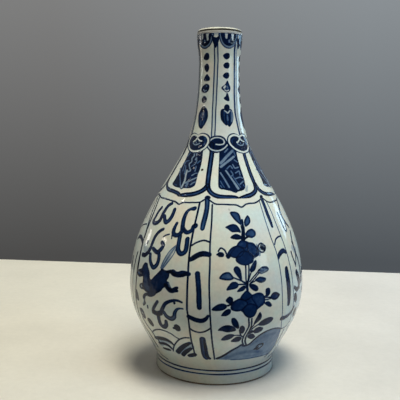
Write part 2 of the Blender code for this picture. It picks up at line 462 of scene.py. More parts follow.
def painted_glaze():
    """Porcelain under the blue and the glaze. The ink's strength picks the blue, mottled as ground cobalt
    settles, and the thinnest ink lets the glaze through."""
    recipe = Recipe(bpy.data.materials.new("painted_glaze"))
    place = recipe.place()
    ink = recipe.add("ShaderNodeAttribute", {"attribute_name": "ink"}).outputs["Fac"]
    iron = recipe.add("ShaderNodeAttribute", {"attribute_name": "iron"}).outputs["Fac"]
    mottle = recipe.spread(recipe.noise(place, 230.0, 4.0, 0.6), 0.30, 0.70, 0.84, 1.10)
    pools = recipe.spread(recipe.noise(place, 60.0, 2.0), 0.30, 0.70, 0.90, 1.06)
    strength = recipe.maths("MULTIPLY", recipe.maths("MULTIPLY", ink, mottle), pools)
    cobalt = recipe.ramp(strength, COBALT_STOPS)
    colour = recipe.mix(recipe.spread(ink, 0.0, 0.24), glaze_colour(recipe, place), cobalt)
    colour = recipe.mix(recipe.spread(iron, 0.0, 0.3), colour, recipe.ramp(iron, IRON_STOPS))
    recipe.set(recipe.shader, "Base Color", colour)
    glaze_surface(recipe, place, ink)
    return recipe.owner


PAINTED = painted_glaze()
FOOT_TOP = 12.8
BARE_EDGE = 1.3
FRONT_STRIP = -10.5
TURN_ENDS = (FRONT_STRIP, FRONT_STRIP + 360.0)
foot_sheet = Sheet(*TURN_ENDS, BARE_EDGE, FOOT_TOP, 0.45)
foot_sheet.ring(12.1, 1.45, 1.0, sway=0.12)
foot_sheet.ring(8.9, 1.15, 0.96, sway=0.10)
skin("foot_wall", foot_sheet, PAINTED, ["foot_ring", "foot_seam"])


# Foot rim
# The bare porcelain that the vase stands on, burnt warm brown where the glaze was wiped off before firing.
# Its colour also holds painted contact shadow, darkest along the ground.
# The edges are bevelled, and grit from the kiln floor is fused into them.

# Painted contact shadow: both colours are darker than the burnt bare porcelain alone.
BARE_BROWN_SHADED = (0.17, 0.115, 0.070)
BARE_BURNT_SHADED = (0.045, 0.028, 0.018)
BARE_SPECKS = (0.05, 0.035, 0.025)


def bare_rim():
    """Unglazed porcelain: brown to burnt brown in clouds, darkened as painted contact shadow, with
    dark specks, matt and gritty.
    """
    recipe = Recipe(bpy.data.materials.new("bare_rim"))
    place = recipe.place()
    clouds = recipe.spread(recipe.noise(place, 95.0, 4.0, 0.6), 0.35, 0.65)
    colour = recipe.mix(clouds, BARE_BROWN_SHADED, BARE_BURNT_SHADED)
    specks = recipe.spread(recipe.noise(place, 900.0, 2.0), 0.62, 0.70)
    recipe.set(recipe.shader, "Base Color", recipe.mix(specks, colour, BARE_SPECKS))
    grit = recipe.noise(place, 700.0, 5.0, 0.7)
    recipe.set(recipe.shader, "Normal", recipe.bump(grit, 0.6, 0.0004))
    recipe.set(recipe.shader, "Roughness", 0.78)
    return recipe.owner


BARE = bare_rim()
BASE_RADIUS = 42.5
BASE_LEVEL = 8.5
RIM_PROFILE = (
    (BASE_RADIUS, BASE_LEVEL),
    (42.62, 7.4),
    (42.8, 5.8),
    (43.1, 3.4),
    (43.4, 1.6),
    (43.65, 0.75),
    (44.1, 0.22),
    (44.9, 0.0),
    (46.7, 0.0),
    (49.4, 0.0),
    (49.75, 0.12),
    (49.93, 0.36),
    (50.0, 0.8),
    (50.0, 1.3),
)


def turned(name, profile, columns, material, nodes, pole=None, grit=0.0):
    """A profile of (radius, height) pairs in mm turned about the axis: the point at angle a and place k is
    profile radius k out from the axis in the direction a. A pole, "first" or "last", closes that end with a
    fan about the axis. Grit lifts and dents the profile by a seeded amount in mm."""
    profile = np.asarray(profile, float)
    angles = np.arange(columns) / columns * math.tau
    radii = np.broadcast_to(profile[:, :1], (len(profile), columns)).copy()
    heights = np.broadcast_to(profile[:, 1:], (len(profile), columns)).copy()
    if grit:
        rough = np.random.default_rng(7).normal(0.0, grit, radii.shape)
        radii[1:-1] += rough[1:-1]
    points = np.stack((radii * np.sin(angles), -radii * np.cos(angles), heights), axis=-1).reshape(-1, 3)
    faces = grid_faces(len(profile), columns, True)[0].tolist()
    if pole:
        end = 0 if pole == "first" else -1
        rim = np.arange(columns) + (0 if pole == "first" else (len(profile) - 1) * columns)
        sides = (np.roll(rim, -1), rim) if pole == "first" else (rim, np.roll(rim, -1))
        faces += np.column_stack((*sides, np.full(columns, len(points)))).tolist()
        points = np.concatenate((points, [(0.0, 0.0, profile[end, 1])]))
    put_in_scene(name, points * MM, faces, None, material, nodes)


turned("foot_rim", RIM_PROFILE, 240, BARE, ["foot_ring"], grit=0.03)


# Base
# The underside inside the foot ring: a shallow dome, glazed, with the turning tool's spiral still in it.
# The glaze there is darker than on the body, from the painted shade low down.


def plain_glaze():
    """The glaze where nothing is painted: inside the vase and under its base."""
    recipe = Recipe(bpy.data.materials.new("plain_glaze"))
    place = recipe.place()
    recipe.set(recipe.shader, "Base Color", glaze_colour(recipe, place))
    glaze_surface(recipe, place)
    return recipe.owner


PLAIN = plain_glaze()
BASE_RISE = 0.6
RIPPLE_STEP = 2.4
RIPPLE_RISE = 0.06


def base_profile():
    """The underside from its middle out to the foot ring: height falls by a shallow arch, with the ripple
    of the turning tool's spiral, which fades out near the ring."""
    radius = np.linspace(0.6, BASE_RADIUS, 110)
    arch = BASE_RISE * (1 - (radius / BASE_RADIUS) ** 2)
    ripple = RIPPLE_RISE * np.sin(radius / RIPPLE_STEP * math.tau) * smooth((BASE_RADIUS - radius) / 4.0)
    return np.column_stack((radius, BASE_LEVEL + arch + ripple))


turned("base_underside", base_profile(), 160, PLAIN, ["lower_body"], pole="first")


# Body panels
# Six upright panels round the belly, parted by strips with bars and arcs in them, brushed freehand.
# Panels with a flowering branch on a rock and panels with a galloping beast over waves take turns.

PANELS = 6
PANEL_TURN = 360.0 / PANELS
RIGHT_STRIP = 49.5
LEFT_STRIP = -70.5
STRIP_ANGLES = (FRONT_STRIP, 109.5, 169.5, 229.5)
FRONT_FLOWER = 19.5
FRONT_BEAST = -40.5
RIGHT_BEAST = 79.5
BACK_FLOWER = 139.5
BACK_BEAST = 199.5
LEFT_FLOWER = 259.5
BACK_PANELS = (BACK_FLOWER, BACK_BEAST, LEFT_FLOWER)
STRIP_LINES = (
    ([-4, 153.5, -4.8, 145, -6, 135, -7, 125, -7.7, 118, -8, 110, -8, 100, -8, 90, -8, 80, -8, 71], 1.15),
    ([-8, 71, -7.2, 65, -6.8, 57, -6.5, 50, -6, 42, -5.3, 35, -4.8, 27], 1.0),
    ([5.8, 152, 6.3, 145, 6.8, 137, 7, 128, 7.2, 120, 7.8, 112, 8.2, 104, 8.3, 96, 8.5, 88, 9, 80], 0.85),
    ([9, 80, 9.3, 72, 9.6, 64, 9.8, 56, 9.9, 48, 10, 40, 10.2, 32, 10.3, 25], 0.9),
    ([-6.5, 119.5, -4, 121.3, 0, 123.2, 3, 123.7, 6.5, 122.7], 0.95),
    ([-6.5, 55.7, -4, 54, -1, 53, 2, 53, 5, 54, 8, 56, 9.5, 57.3], 1.05),
    ([-4, 153.6, -1.5, 155.6, 0, 156.5], 0.6),
)
STRIP_BARS = (
    ([1.5, 156.6, 2, 150, 1.6, 143, 0.7, 137, 0.3, 132.8], (3.6, 3.4, 3.6, 3.6, 3.0), 0.50),
    ([-7.3, 108.3, -5, 110, -1, 112.6, 3, 113.8, 7.2, 113.2], (2.0, 3.4, 3.7, 3.8, 3.2), 0.90),
    ([-0.7, 98.8, 0.2, 92, 0.9, 85, 1.1, 79, 1.5, 73.8], (3.6, 3.6, 3.6, 3.7, 3.4), 0.70),
    ([-7, 66, -4.5, 64.8, -1, 63.6, 3, 63.3, 6, 64.9, 7.9, 67.6], (2.8, 3.2, 3.4, 3.4, 2.8, 1.6), 0.80),
    ([2.7, 46.4, 2.9, 40, 3.1, 33, 3.6, 28, 4.2, 26], (4.4, 4.8, 5.0, 4.8, 3.6), 0.56),
    ([4.0, 45, 4.4, 38, 4.5, 32, 5, 27.5, 6.6, 25.6], (1.6, 2.4, 2.6, 2.8, 2.0), 0.95),
)
RIGHT_STRIP_LINES = (
    ([-7.5, 154, -8.6, 145, -9.4, 135.8, -9.5, 126.2, -8.8, 119.7, -7.8, 114.2], 0.5),
    ([-7.8, 114.2, -7.2, 107.3, -6.8, 98.6, -6.3, 86.9, -5.7, 75.2, -3.8, 65.1, -1.2, 55.6, 2.3, 48.2],
     0.42),
    ([0.2, 153, 1.2, 145, 1.4, 138.1, 2.1, 129.9, 2.9, 123.9, 4, 117.5, 5.4, 109.3], 0.55),
    ([5.4, 109.3, 6.3, 102.8, 7.6, 94.9, 9, 84.2, 10.8, 73.5, 11.9, 65, 12.5, 58, 14, 52], 0.50),
    ([-7.4, 118.6, -6.2, 120.4, -4.5, 122.4, -0.6, 123.9, 3, 124], 0.95),
    ([2.3, 48.4, 6, 48, 9.9, 48.9, 13.7, 52.4], 0.7),
    ([8.4, 46, 8.6, 40, 8.3, 32.5, 5.4, 23.5, 0, 19.2], 1.1),
    ([16, 47, 18.4, 40.5, 20.4, 33, 19.4, 25, 14, 18.8, 7, 17], 1.5),
)
RIGHT_STRIP_BARS = (
    ([-3.9, 156, -4.1, 148.7, -4.4, 143, -4.1, 137.8, -4.2, 132.9], (2.8, 3.0, 3.2, 3.0, 2.4), 0.58),
    ([-6.7, 107.6, -4.9, 110.2, -1.2, 112.2, 1.8, 112.4, 4, 110.9], (1.6, 3.2, 3.6, 3.4, 2.2), 0.78),
    ([1.0, 98.4, 1.3, 93.6, 2.4, 85.7, 3.0, 79.2, 3.2, 70.5], (3.8, 4.8, 5.2, 5.0, 3.6), 0.74),
    ([-3.2, 59.4, 1.8, 59.2, 7.4, 60.4, 11.2, 62.8, 13.6, 65.4], (3.2, 3.2, 3.0, 2.8, 2.0), 0.62),
)
LEFT_STRIP_LINES = (
    ([-0.5, 152, 3, 140.3, 6.2, 132.4, 8.4, 125.4, 10, 116.2], 1.2),
    ([10, 116.2, 11.3, 108.8, 12.2, 99.3, 12, 91.1, 11.8, 76.5, 10.6, 63.6, 9.0, 52.1], 2.0),
    ([5.6, 106, 4.9, 100.3, 4.2, 94.4, 3.6, 86.7, 4, 74.5, 4.3, 61.8, 3.6, 52], 1.5),
    ([-12, 124.6, -8, 126.8, -2, 128.6, 4.3, 129.9], 0.8),
    ([8.6, 49, 10.6, 44.2, 13.2, 40, 14.4, 34.8, 14.4, 29.8, 14.9, 26], 2.0),
    ([15.6, 54, 19, 47.2, 21.4, 43.2, 22.8, 38.2, 24.3, 35, 24.9, 32], 1.6),
    ([7.5, 20.1, 13.6, 16.9, 21, 15.1], 0.8),
    ([-13.5, 110, -13.8, 95, -13.6, 80, -12, 65, -9, 50, -6, 38], 0.8),
)
LEFT_STRIP_BARS = (
    ([-6.6, 115.4, -4, 117.4, 0.5, 118.4, 6, 117.4, 10, 114.7], (2.2, 2.8, 3.0, 2.8, 1.6), 0.85),
    ([-4.6, 100, -4.8, 90, -4.6, 80, -4.2, 72], (3.0, 3.4, 3.4, 2.8), 0.66),
    ([-8, 62, -4, 60.4, 0, 60.6, 4, 62.6], (2.2, 2.8, 2.8, 2.0), 0.80),
    ([-1.4, 156.5, -3.2, 150, -5.2, 142, -7, 134], (0.9, 1.0), 0.90),
)


def placed(points, mirrored, seed):
    """Points as another hand-drawn copy has them: turned left to right if asked, and pushed by up to a
    millimetre along slow waves whose phases the seed gives. Seed 0 leaves them as they are."""
    pairs = np.reshape(points, (-1, 2)).astype(float)
    if mirrored:
        pairs = pairs * (-1.0, 1.0)
    if seed:
        phase = np.random.default_rng(seed).uniform(0.0, math.tau, 4)
        x, s = pairs.T
        push_x = np.sin(s / 19 + phase[0]) + np.sin(x / 9 + phase[1])
        push_s = np.sin(s / 23 + phase[2]) + np.sin(x / 11 + phase[3])
        pairs = pairs + 0.5 * np.column_stack((push_x, push_s))
    return pairs


def paint_strip(sheet, centre, lines, bars, seed=0, mirrored=False, strength=1.0):
    """Bars with a dark rim and a paler middle, between two upright lines of the given strength."""

    def at(points):
        return placed(points, mirrored, seed)

    for points, width in lines:
        sheet.stroke(centre, at(points), width, strength, strength)
    sheet.draw(centre, bars, at)


FLOWER_LEAVES = (
    [-8.5, 145.7, -4.5, 146.3, -1.5, 144, -1, 138, -1.5, 136, -4, 138, -6.5, 141],
    [3, 141, 5, 143, 6.5, 141, 6.5, 138, 5, 136, 2, 134.5, 1.5, 138],
    [-13.5, 134.2, -9, 136.3, -5.5, 136, -3.5, 133.5, -2.5, 130, -5, 130.5, -9, 130.5, -12, 133],
    [1, 128, 3, 131, 6.5, 132.3, 9.3, 130.5, 9.5, 127.5, 7, 125.7, 3.5, 126],
    [-10.8, 126.3, -7, 128.7, -4, 128, -2.5, 126.5, -4, 124.8, -8, 125],
    [-10.5, 103, -8.5, 104.8, -6, 103, -5, 99, -5, 94, -7.5, 97, -10, 100.5],
    [2, 101, 3, 104, 6, 107.8, 7.5, 108, 7.5, 105, 6, 101.5, 3.5, 100],
    [-21.5, 96, -19.5, 99, -17, 100.3, -14, 100.3, -12, 98, -11, 96, -13.5, 94.8, -17, 94.8],
    [8, 100, 11, 102.5, 14, 103.3, 17, 102.5, 18.2, 100.7, 15.5, 99, 11, 98.3],
    [-16.5, 87.5, -14.5, 91, -12, 93.2, -9, 93, -7.5, 91, -9, 88.8, -13, 87.8],
    [6, 94, 9, 95.7, 12, 95.5, 15, 94.3, 14.5, 92.5, 11, 91.5, 8, 92.5],
    [-8.5, 86.3, -6, 89, -3, 90.3, -2, 89, -3.5, 87, -6, 86.2],
    [1, 90.5, 4, 91, 7, 89.5, 8.3, 87.5, 7.5, 85.8, 5, 86, 2, 88.3],
    [15, 82, 15, 86, 17.5, 86.8, 19, 85, 18.5, 82, 16, 80.5],
    [19.5, 80, 21.5, 82.3, 25, 82.5, 28, 81, 29, 79.8, 26.5, 77.5, 23, 77, 20, 78.5],
    [14, 76, 17.5, 76.5, 20, 74.5, 20.8, 72.5, 18.5, 72.3, 15, 74.5],
    [-17, 79.8, -14.5, 82.5, -12, 81, -12, 78.5, -13.5, 76.8, -15.5, 78],
    [-27.3, 72.7, -24, 76, -20, 77.3, -17, 76.5, -16.5, 74.5, -19, 72.5, -24, 71.8],
    [-20, 68.3, -18, 71.5, -15.5, 73, -13.5, 72.5, -13.5, 70, -16, 68, -19, 67.8],
    [-12.2, 65, -10.5, 66, -8.5, 64.5, -6.5, 61, -5.7, 57, -8, 57.5, -11, 60.5],
    [-21.3, 55.5, -19, 58.5, -16, 59.8, -12, 59.5, -9, 57.5, -8, 55, -12, 54, -15, 54, -18, 55],
    [-5, 57, -3.5, 59, -1.5, 57.5, -0.8, 55, -1.8, 52, -4, 53],
    [-17.5, 46.3, -16, 49.5, -13, 51.5, -9.5, 51.5, -8.5, 50, -10.5, 47.5, -14, 46],
    [-9.8, 44.7, -8, 47.5, -5.5, 49, -2.5, 48, -2.3, 46, -4, 44, -7, 43.8],
    [6, 60, 7.5, 64, 9.5, 68, 10.5, 68.8, 12, 66, 11.5, 63, 9, 61, 7, 59.5],
    [10, 58.5, 13, 61.5, 17, 63, 21, 63.2, 23.8, 61.5, 22, 59, 18, 57.3, 14, 57],
    [7, 53.5, 9, 55.5, 12, 56, 15, 54.5, 14, 52, 11, 50.8, 8, 51],
    [3, 49.5, 6, 50.5, 8, 49, 9.2, 46.8, 7, 45.3, 5, 46, 3, 47.5],
    [3, 52, 5, 54, 7, 52.5, 5, 51.4],
)
LEAF_WASHES = (0.52, 0.50, 0.76, 0.56, 0.80, 0.80, 0.70, 0.44, 0.58, 0.72, 0.54, 0.72, 0.78, 0.80, 0.60)
OTHER_LEAF_WASH = 0.80
PETAL_WASHES = (0.66, 0.60, 0.56, 0.70)
FLOWER_PETALS = (
    [-14.5, 113.5, -12, 117.5, -8, 119.7, -3, 119, -1, 116, -4, 112, -9, 111, -12, 112],
    [-6.5, 120.5, -3, 124, 0, 123.5, 1.5, 121.5, 0.5, 118, -3, 118],
    [1.5, 121, 4, 122, 7, 121, 9, 118, 9.5, 114.5, 7, 111.5, 3, 112, 1.5, 116],
    [-7.5, 112, -8.5, 109, -6, 106.5, -3, 105.5, 0, 105.3, 3, 106.7, 5.5, 110, 5, 113, 0, 116, -4, 115.5],
    [-6, 81, -4, 84.5, -1, 86.5, 2, 84, 3.5, 82, 0, 79.5, -3, 79],
    [3, 82.5, 6, 83.8, 9, 84.2, 12, 83, 14, 80, 14, 76, 11, 73.5, 8, 73, 5, 77, 3, 79.5],
    [-13, 76, -11, 79, -6, 80.5, -2, 79, 0, 77, -2, 74, -6, 71.5, -10, 71.5, -13, 73],
    [-4, 73, -3, 69, 0, 66, 3, 65.3, 6, 67, 7.5, 71, 7, 74.5, 3, 76.5, -1, 76],
)
FLOWER_MASSES = (
    [-13, 113, -8, 119, -4, 123, 0, 123.4, 4, 121.6, 8, 119.6, 10, 117, 10.4, 112.4, 6, 110, 4.6, 107,
     0, 105.8, -5, 106.4, -8, 110.5],
    [-12.5, 76, -9, 80, -6, 81.4, -3, 85, 0, 86, 3, 83.2, 8, 83.8, 13, 81.4, 14, 77, 11, 73.6, 7.5, 71,
     5, 66.4, 0, 66.2, -3, 69.4, -6, 71.6, -11, 72],
)
FLOWER_LINES = (
    ([-1.2, 135, -1, 131, -1.8, 127, -2.5, 125], 1.2),
    ([0.5, 134, 0, 128, -0.5, 125], 1.2),
    ([0, 139.6, 0, 135.6, 0.1, 131.1, -0.4, 127.1, -1.7, 124.2], 1.3),
    ([3.8, 126.9, 1.1, 125.7, -0.6, 124.2], 1.2),
    ([-15, 112.5, -14, 111.3, -12.5, 113], 1.6),
    ([-21, 116, -19, 118.3, -16.5, 117, -15.3, 114.5, -14.5, 112], 0.8),
    ([10, 117.5, 11, 119.5, 13, 120.8, 15, 120], 0.8),
    ([16.5, 115.5, 14.5, 114, 12, 114.5, 10, 116.5], 0.8),
    ([-1.3, 105, -1.5, 98, -1.5, 93], 0.75),
    ([1.2, 105, 1, 100, 0.3, 95, 0, 92], 0.75),
    ([-0.5, 93, -0.8, 89, -0.5, 86], 1.6),
    ([-5, 94, -3, 92.6, -1.2, 91.8], 0.8),
    ([3, 100.3, 1.6, 97, 0.6, 94], 0.65),
    ([8.4, 99.8, 4.5, 96.2, 1.4, 93], 0.65),
    ([9, 98.6, 5.4, 95, 1.8, 91.8], 0.55),
    ([-11.4, 96.6, -7, 94.8, -2.8, 92.8], 0.65),
    ([-7.6, 91.4, -4.6, 91.4, -2.2, 91.2], 0.65),
    ([6.4, 93.4, 3.6, 92.4, 1.2, 91.2], 0.7),
    ([14, 80, 16.5, 79.8, 19.5, 79.4], 0.8),
    ([14.2, 78.2, 17, 78.2, 20, 78.6], 0.7),
    ([15.3, 81.6, 13.8, 80.4], 0.9),
    ([-13, 76.6, -15, 76, -16.8, 75.6], 1.0),
    ([1.2, 64.6, 2.2, 58.4, 0.9, 53.9, -0.5, 49.2, -0.8, 44.2, 1.1, 39.4], 0.95),
    ([3.8, 64.3, 4.2, 58.1, 3.2, 53.6, 1.6, 48.9, 1.5, 44, 3.2, 39.6], 0.95),
    ([-5, 55.4, -3.8, 51.6, -2.6, 49.4, -1.2, 48.6], 0.7),
    ([-9, 50.4, -6, 50.5, -3.4, 49.8], 0.7),
    ([7, 60, 5.6, 57.8, 4.4, 56], 0.7),
    ([10.6, 58.8, 7.4, 57, 4.4, 54.6], 0.7),
    ([7.4, 52.4, 5, 51.5, 3, 50.6], 0.7),
)
FLOWER_DOTS = (
    ([-20.0, 113.5, -18.8, 113.4], 3.4, 0.9),
    ([-22.2, 113.5, -19.5, 113.7], (0.9, 2.0), 1.0),
    ([14.4, 117.9, 15.2, 117.4], 4.4, 0.9),
    ([9.4, 120, 11, 116, 11, 112], (1.0, 2.6, 1.6), 0.30, 0.25),
    ([-1, 92.5, -1, 90.6], 2.6, 0.45, 0.4),
)
ROCK = [-17, 25, -16.5, 27, -14, 28.5, -11, 31, -7, 35, -3, 38, -0.5, 40, 3, 38.9, 6, 40, 8.5, 43.5,
        11, 46, 14, 48.5, 17, 50, 21, 51, 26, 51.5, 31, 50.8, 35, 49.2, 36.2, 45, 36.7, 38, 36.4, 30,
        35, 24, 31.5, 21.8, 25, 22, 15, 22.8, 5, 23.2, -3, 23.6, -10, 24.5]
ROCK_EDGE = [-17, 26, -14, 28, -11, 31, -7, 35, -3, 38, -0.5, 40.2, 1, 38.9, 3, 38.7, 6, 40, 8.5, 43.3,
             11, 45.8, 14, 48.3, 17, 49.9, 21, 51, 26, 51.5, 31, 50.8, 36, 49.2]
ROCK_BACK = [36.4, 48, 36.9, 42, 37.2, 36, 36.6, 28, 34.6, 23.2, 31.3, 21.9, 25, 22.1, 15.3, 22.9, 5, 23.3,
             -6, 24]
ROCK_STROKES = (
    ([-10, 27, 0, 31, 10, 31, 20, 28], 5.5, 0.44, 0.34),
    ([8, 39, 14, 43, 22, 46, 30, 46], 4.5, 0.40, 0.34),
    ([4, 26, 14, 26, 28, 26], 3.0, 0.38, 0.34),
    (ROCK_EDGE, (2.2, 1.7, 1.5, 1.4, 1.0, 0.9), 0.9),
    (ROCK_BACK, 0.8, 0.56, 0.60),
)
ROCK_CURL = [13.1, 33.8, 13.9, 36.3, 16.2, 37.6, 19.4, 37.4, 19.0, 34.8, 16.6, 32.8, 14.5, 32.4]
CURL_STROKES = (
    (ROCK_CURL + ROCK_CURL[:2], 1.3),
    ([12, 33.2, 13.6, 33.4, 15, 34.6], 1.6),
)


def paint_flower(sheet, centre, seed=0, mirrored=False):
    """A double stem with two blossoms and paired leaves, growing from a washed rock."""

    def at(points):
        return placed(points, mirrored, seed)

    sheet.shape(centre, at(ROCK), 0.33, 0.37)
    sheet.draw(centre, ROCK_STROKES, at)
    sheet.shape(centre, at(ROCK_CURL), lift=0.26)
    sheet.draw(centre, CURL_STROKES, at)
    for number, points in enumerate(FLOWER_LEAVES):
        wash = LEAF_WASHES[number] if number < len(LEAF_WASHES) else OTHER_LEAF_WASH
        sheet.shape(centre, at(points), wash)
    for points in FLOWER_MASSES:
        sheet.shape(centre, at(points), 0.62, 0.84)
    for number, points in enumerate(FLOWER_PETALS):
        sheet.shape(centre, at(points), PETAL_WASHES[number % len(PETAL_WASHES)], 1.0, 0.8)
    sheet.draw(centre, FLOWER_LINES + FLOWER_DOTS, at)


BEAST = [-25.5, 91, -22, 94, -18, 95.5, -16.5, 98, -14.5, 100.5, -11, 100.8, -9.5, 98.5, -8, 96.5,
         -6.5, 94, -5.5, 90, -3.5, 89.5, 0, 93, 3, 96, 5, 98, 6, 99.5, 10, 98.5, 14, 99.5, 17, 100,
         20, 98.8, 24, 100, 28.5, 99.5, 29, 97, 25, 96.5, 21, 95, 17, 95.5, 14, 97, 13.5, 94, 12, 91,
         14, 90, 15.5, 87.5, 17, 86, 20, 87.5, 22.3, 87.5, 21.5, 85.5, 18, 83.5, 15.5, 83, 13.5, 85,
         12.5, 87.5, 10.5, 86, 9, 85, 7, 82.5, 3, 80, 0, 77.5, -4, 76, -8, 76, -10, 75, -11, 72, -10.5, 69,
         -14, 66.5, -14.5, 68, -13, 71, -14, 74, -12, 76.5, -9, 78, -7, 78.5, -10, 79, -13, 80, -17, 79.8,
         -19.5, 81.5, -18, 83.5, -15, 84.5, -14.5, 87, -15, 90, -18, 89, -22, 88.5]
CLOUDS = (
    ([-12.5, 146, -15, 142, -16.5, 137, -17.5, 134, -15, 132.5, -11, 133.5, -8.5, 136],
     (2.4, 3.0, 3.4), 0.66),
    ([-8.5, 136, -8, 140, -7, 144, -5, 148.5, -2, 150.7], (3.4, 3.2, 2.6), 0.62),
    ([-8, 139, -5, 139.5, -3.5, 137, -1, 135, 1.5, 137, 3, 141, 3.2, 146], (2.6, 3.2, 3.4, 2.8), 0.62),
    ([20, 148.3, 17, 147.5, 15, 145, 14.5, 140, 15.5, 134, 16.5, 130],
     (3.4, 2.0, 2.6, 3.0, 3.2, 3.4), 0.62),
    ([16.5, 130, 15, 127, 12, 126, 9.5, 127.5, 9, 131, 9.8, 135.3], (3.2, 3.2, 3.2, 2.2), 0.66),
    ([8.8, 127, 9, 125, 9.3, 123], (1.2, 0.62), 0.9),
    ([16, 133, 18, 130.5, 21, 129, 24, 131, 24.5, 134, 25.5, 134.4], (2.4, 2.8, 3.0, 2.8, 4.0), 0.70),
    ([16, 125.5, 16.5, 120, 17.5, 115, 20.5, 112.5, 23.5, 114.5, 23.5, 119, 22.7, 124],
     (3.0, 3.4, 3.4, 3.2), 0.60),
    ([-1.5, 129.3, -5, 127, -8, 123, -9.5, 118, -10.5, 113, -12, 109.5], (2.2, 2.8, 3.0, 3.4), 0.70),
    ([-12, 109.5, -16, 106.5, -20, 106], (3.2, 3.2), 0.85),
    ([1, 119, 3, 117, 1.5, 113.5, -1.5, 111, -5, 112, -7, 113], (2.6, 3.2, 3.2, 2.8), 0.62),
    ([1, 123.5, 3, 125, 6, 126], 0.9, 0.90),
    ([-9, 108, -8, 104, -6, 101, -3, 99, 0, 101, 1.3, 104.5, 1, 109, -0.5, 111],
     (3.0, 3.2, 3.2, 2.8), 0.60),
    ([3.8, 73.6, 1.3, 70.5, -1.4, 66.6, -2, 63.6], (2.2, 2.4, 2.6, 2.4), 0.75),
    ([-0.6, 64, 2.5, 63.7, 6.3, 65], 3.8, 0.80),
    ([6.4, 65.2, 8.8, 69.5, 11.4, 73.3, 15.2, 75.7, 19.7, 77.2, 22.8, 77.3, 26, 76.4],
     (3.0, 2.8, 2.2, 1.6, 1.0), 0.74),
    ([9.6, 66.2, 11.8, 63.1, 15.5, 61.9, 18.5, 63.8, 19.5, 67.3, 21.5, 70.3, 24, 71.5, 26.6, 71.5],
     (2.6, 3.4, 3.4, 3.0, 2.0, 1.2, 0.80), 0.5),
    ([3.5, 63.6, 3.1, 58.4, 3.8, 54.2, 6.5, 52.8, 9.4, 55.2, 10.2, 58.6], (3.4, 3.2, 3.4, 3.4, 2.6), 0.66),
)
EDGE_CLOUDS = (
    ([-5, 153, -8.6, 149, -13.4, 143.5, -14.8, 138.3, -13.2, 133.6, -10.2, 129],
     (1.6, 2.2, 2.4, 2.2), 0.90),
    ([-19.4, 143, -20.8, 136.3, -21.2, 130.4, -20, 127.2, -17.4, 128.6, -15.6, 133, -14.6, 138], 1.2, 0.8),
    ([-10, 125.4, -14.4, 119.9, -15.6, 113.5, -15, 107.8, -12.6, 102, -11.2, 94, -10, 86], 2.0, 0.90),
    ([-23.7, 110.8, -23.5, 106.5, -21.5, 100.6, -21, 98.1], 1.4, 0.9),
    ([-21, 98.1, -18.2, 103.2, -15.6, 108.3], 1.2, 0.9),
    ([-21.3, 93.4, -18.8, 89, -16.6, 84, -16.4, 80], (4.0, 5.6, 5.4, 3.6), 0.80),
    ([-17, 80.4, -22, 79.2, -26.6, 82], (3.0, 3.4, 2.6), 0.90),
)
BEAST_DOTS = (
    ([-25, 75, -24, 72.8, -22.6, 70.8], (4.2, 5.4, 4.2), 0.86),
    ([-8.2, 67.6, -8.1, 66.2], 1.4, 0.55),
    ([-20.4, 61, -19.6, 57.6, -16.8, 55.6, -15.6, 57.6, -17.4, 61.4, -20.4, 61.4], 2.8, 0.82),
    ([-10, 54.6, -8.8, 53.4, -7.4, 51.8], (4.0, 5.4, 4.2), 0.88),
    ([19.2, 54.9, 19.2, 54.2], 5.2, 0.84),
    ([18.6, 53.9, 15.8, 53.7], (2.6, 1.4), 0.8),
    ([19.7, 75.3, 19.7, 75.1], 1.6, 0.8),
    ([-16.5, 117.2, -16.3, 116], 1.6, 0.8),
)
BEAST_LIFTS = (
    ([-10.4, 91.4, -11, 87.7, -9.6, 83.6, -6.4, 81.6], (2.4, 4.4, 4.6, 3.0), 0.60),
    ([-22.5, 91.3, -20.6, 91], 1.6, 0.45),
    ([-16.4, 82.4, -15.8, 81.6], 1.3, 0.16),
    ([-12.4, 72.6, -13.2, 68.6], 0.9, 0.18),
)
BEAST_CREASE = (([13.4, 89.6, 14.5, 88.5, 14.9, 87], 0.6, 0.30),)
BEAST_WING = (
    ([5.5, 99, 9, 106, 12.5, 113, 15, 118], (1.0, 0.5), 0.40, 0.44),
    ([5, 100, 7, 106.5, 10.5, 113.5, 14.8, 118.4], (1.0, 0.5), 0.40, 0.44),
    ([6.6, 99, 11, 105.5, 14.6, 112, 15.4, 117.6], (1.0, 0.5), 0.40, 0.44),
    ([6.6, 101, 10.4, 108.6, 13.4, 115], (1.0, 0.5), 0.40, 0.44),
    ([7, 102.5, 10.5, 109, 13.6, 115.5], (2.4, 3.0, 2.0), 0.24, 0.20),
)
PALE_WASHES = (
    ([-19, 113, -16, 110, -13, 111], (5.0, 6.0, 4.0), 0.18, 0.14),
    ([-6, 32, 0, 38, 6, 38], (6.0, 7.0, 5.0), 0.22, 0.18),
    ([14, 28, 19, 33, 25, 38], (4.0, 6.0, 6.0), 0.22, 0.18),
)
BEAST_BUMPS = (
    ([11, 97.6, 14.4, 98.2, 18, 96.9], 1.8),
    ([18, 96.9, 21.2, 96.2, 25.4, 97], 2.6),
    ([25.4, 97, 27.8, 98, 30, 98], 2.4),
    ([10.7, 88, 13.6, 85.4, 15.8, 84.2, 19, 84.5, 21.4, 86.8], (2.4, 2.8, 3.0, 2.8, 2.0)),
    ([19, 84.5, 21.8, 84.6], (2.4, 1.6)),
)
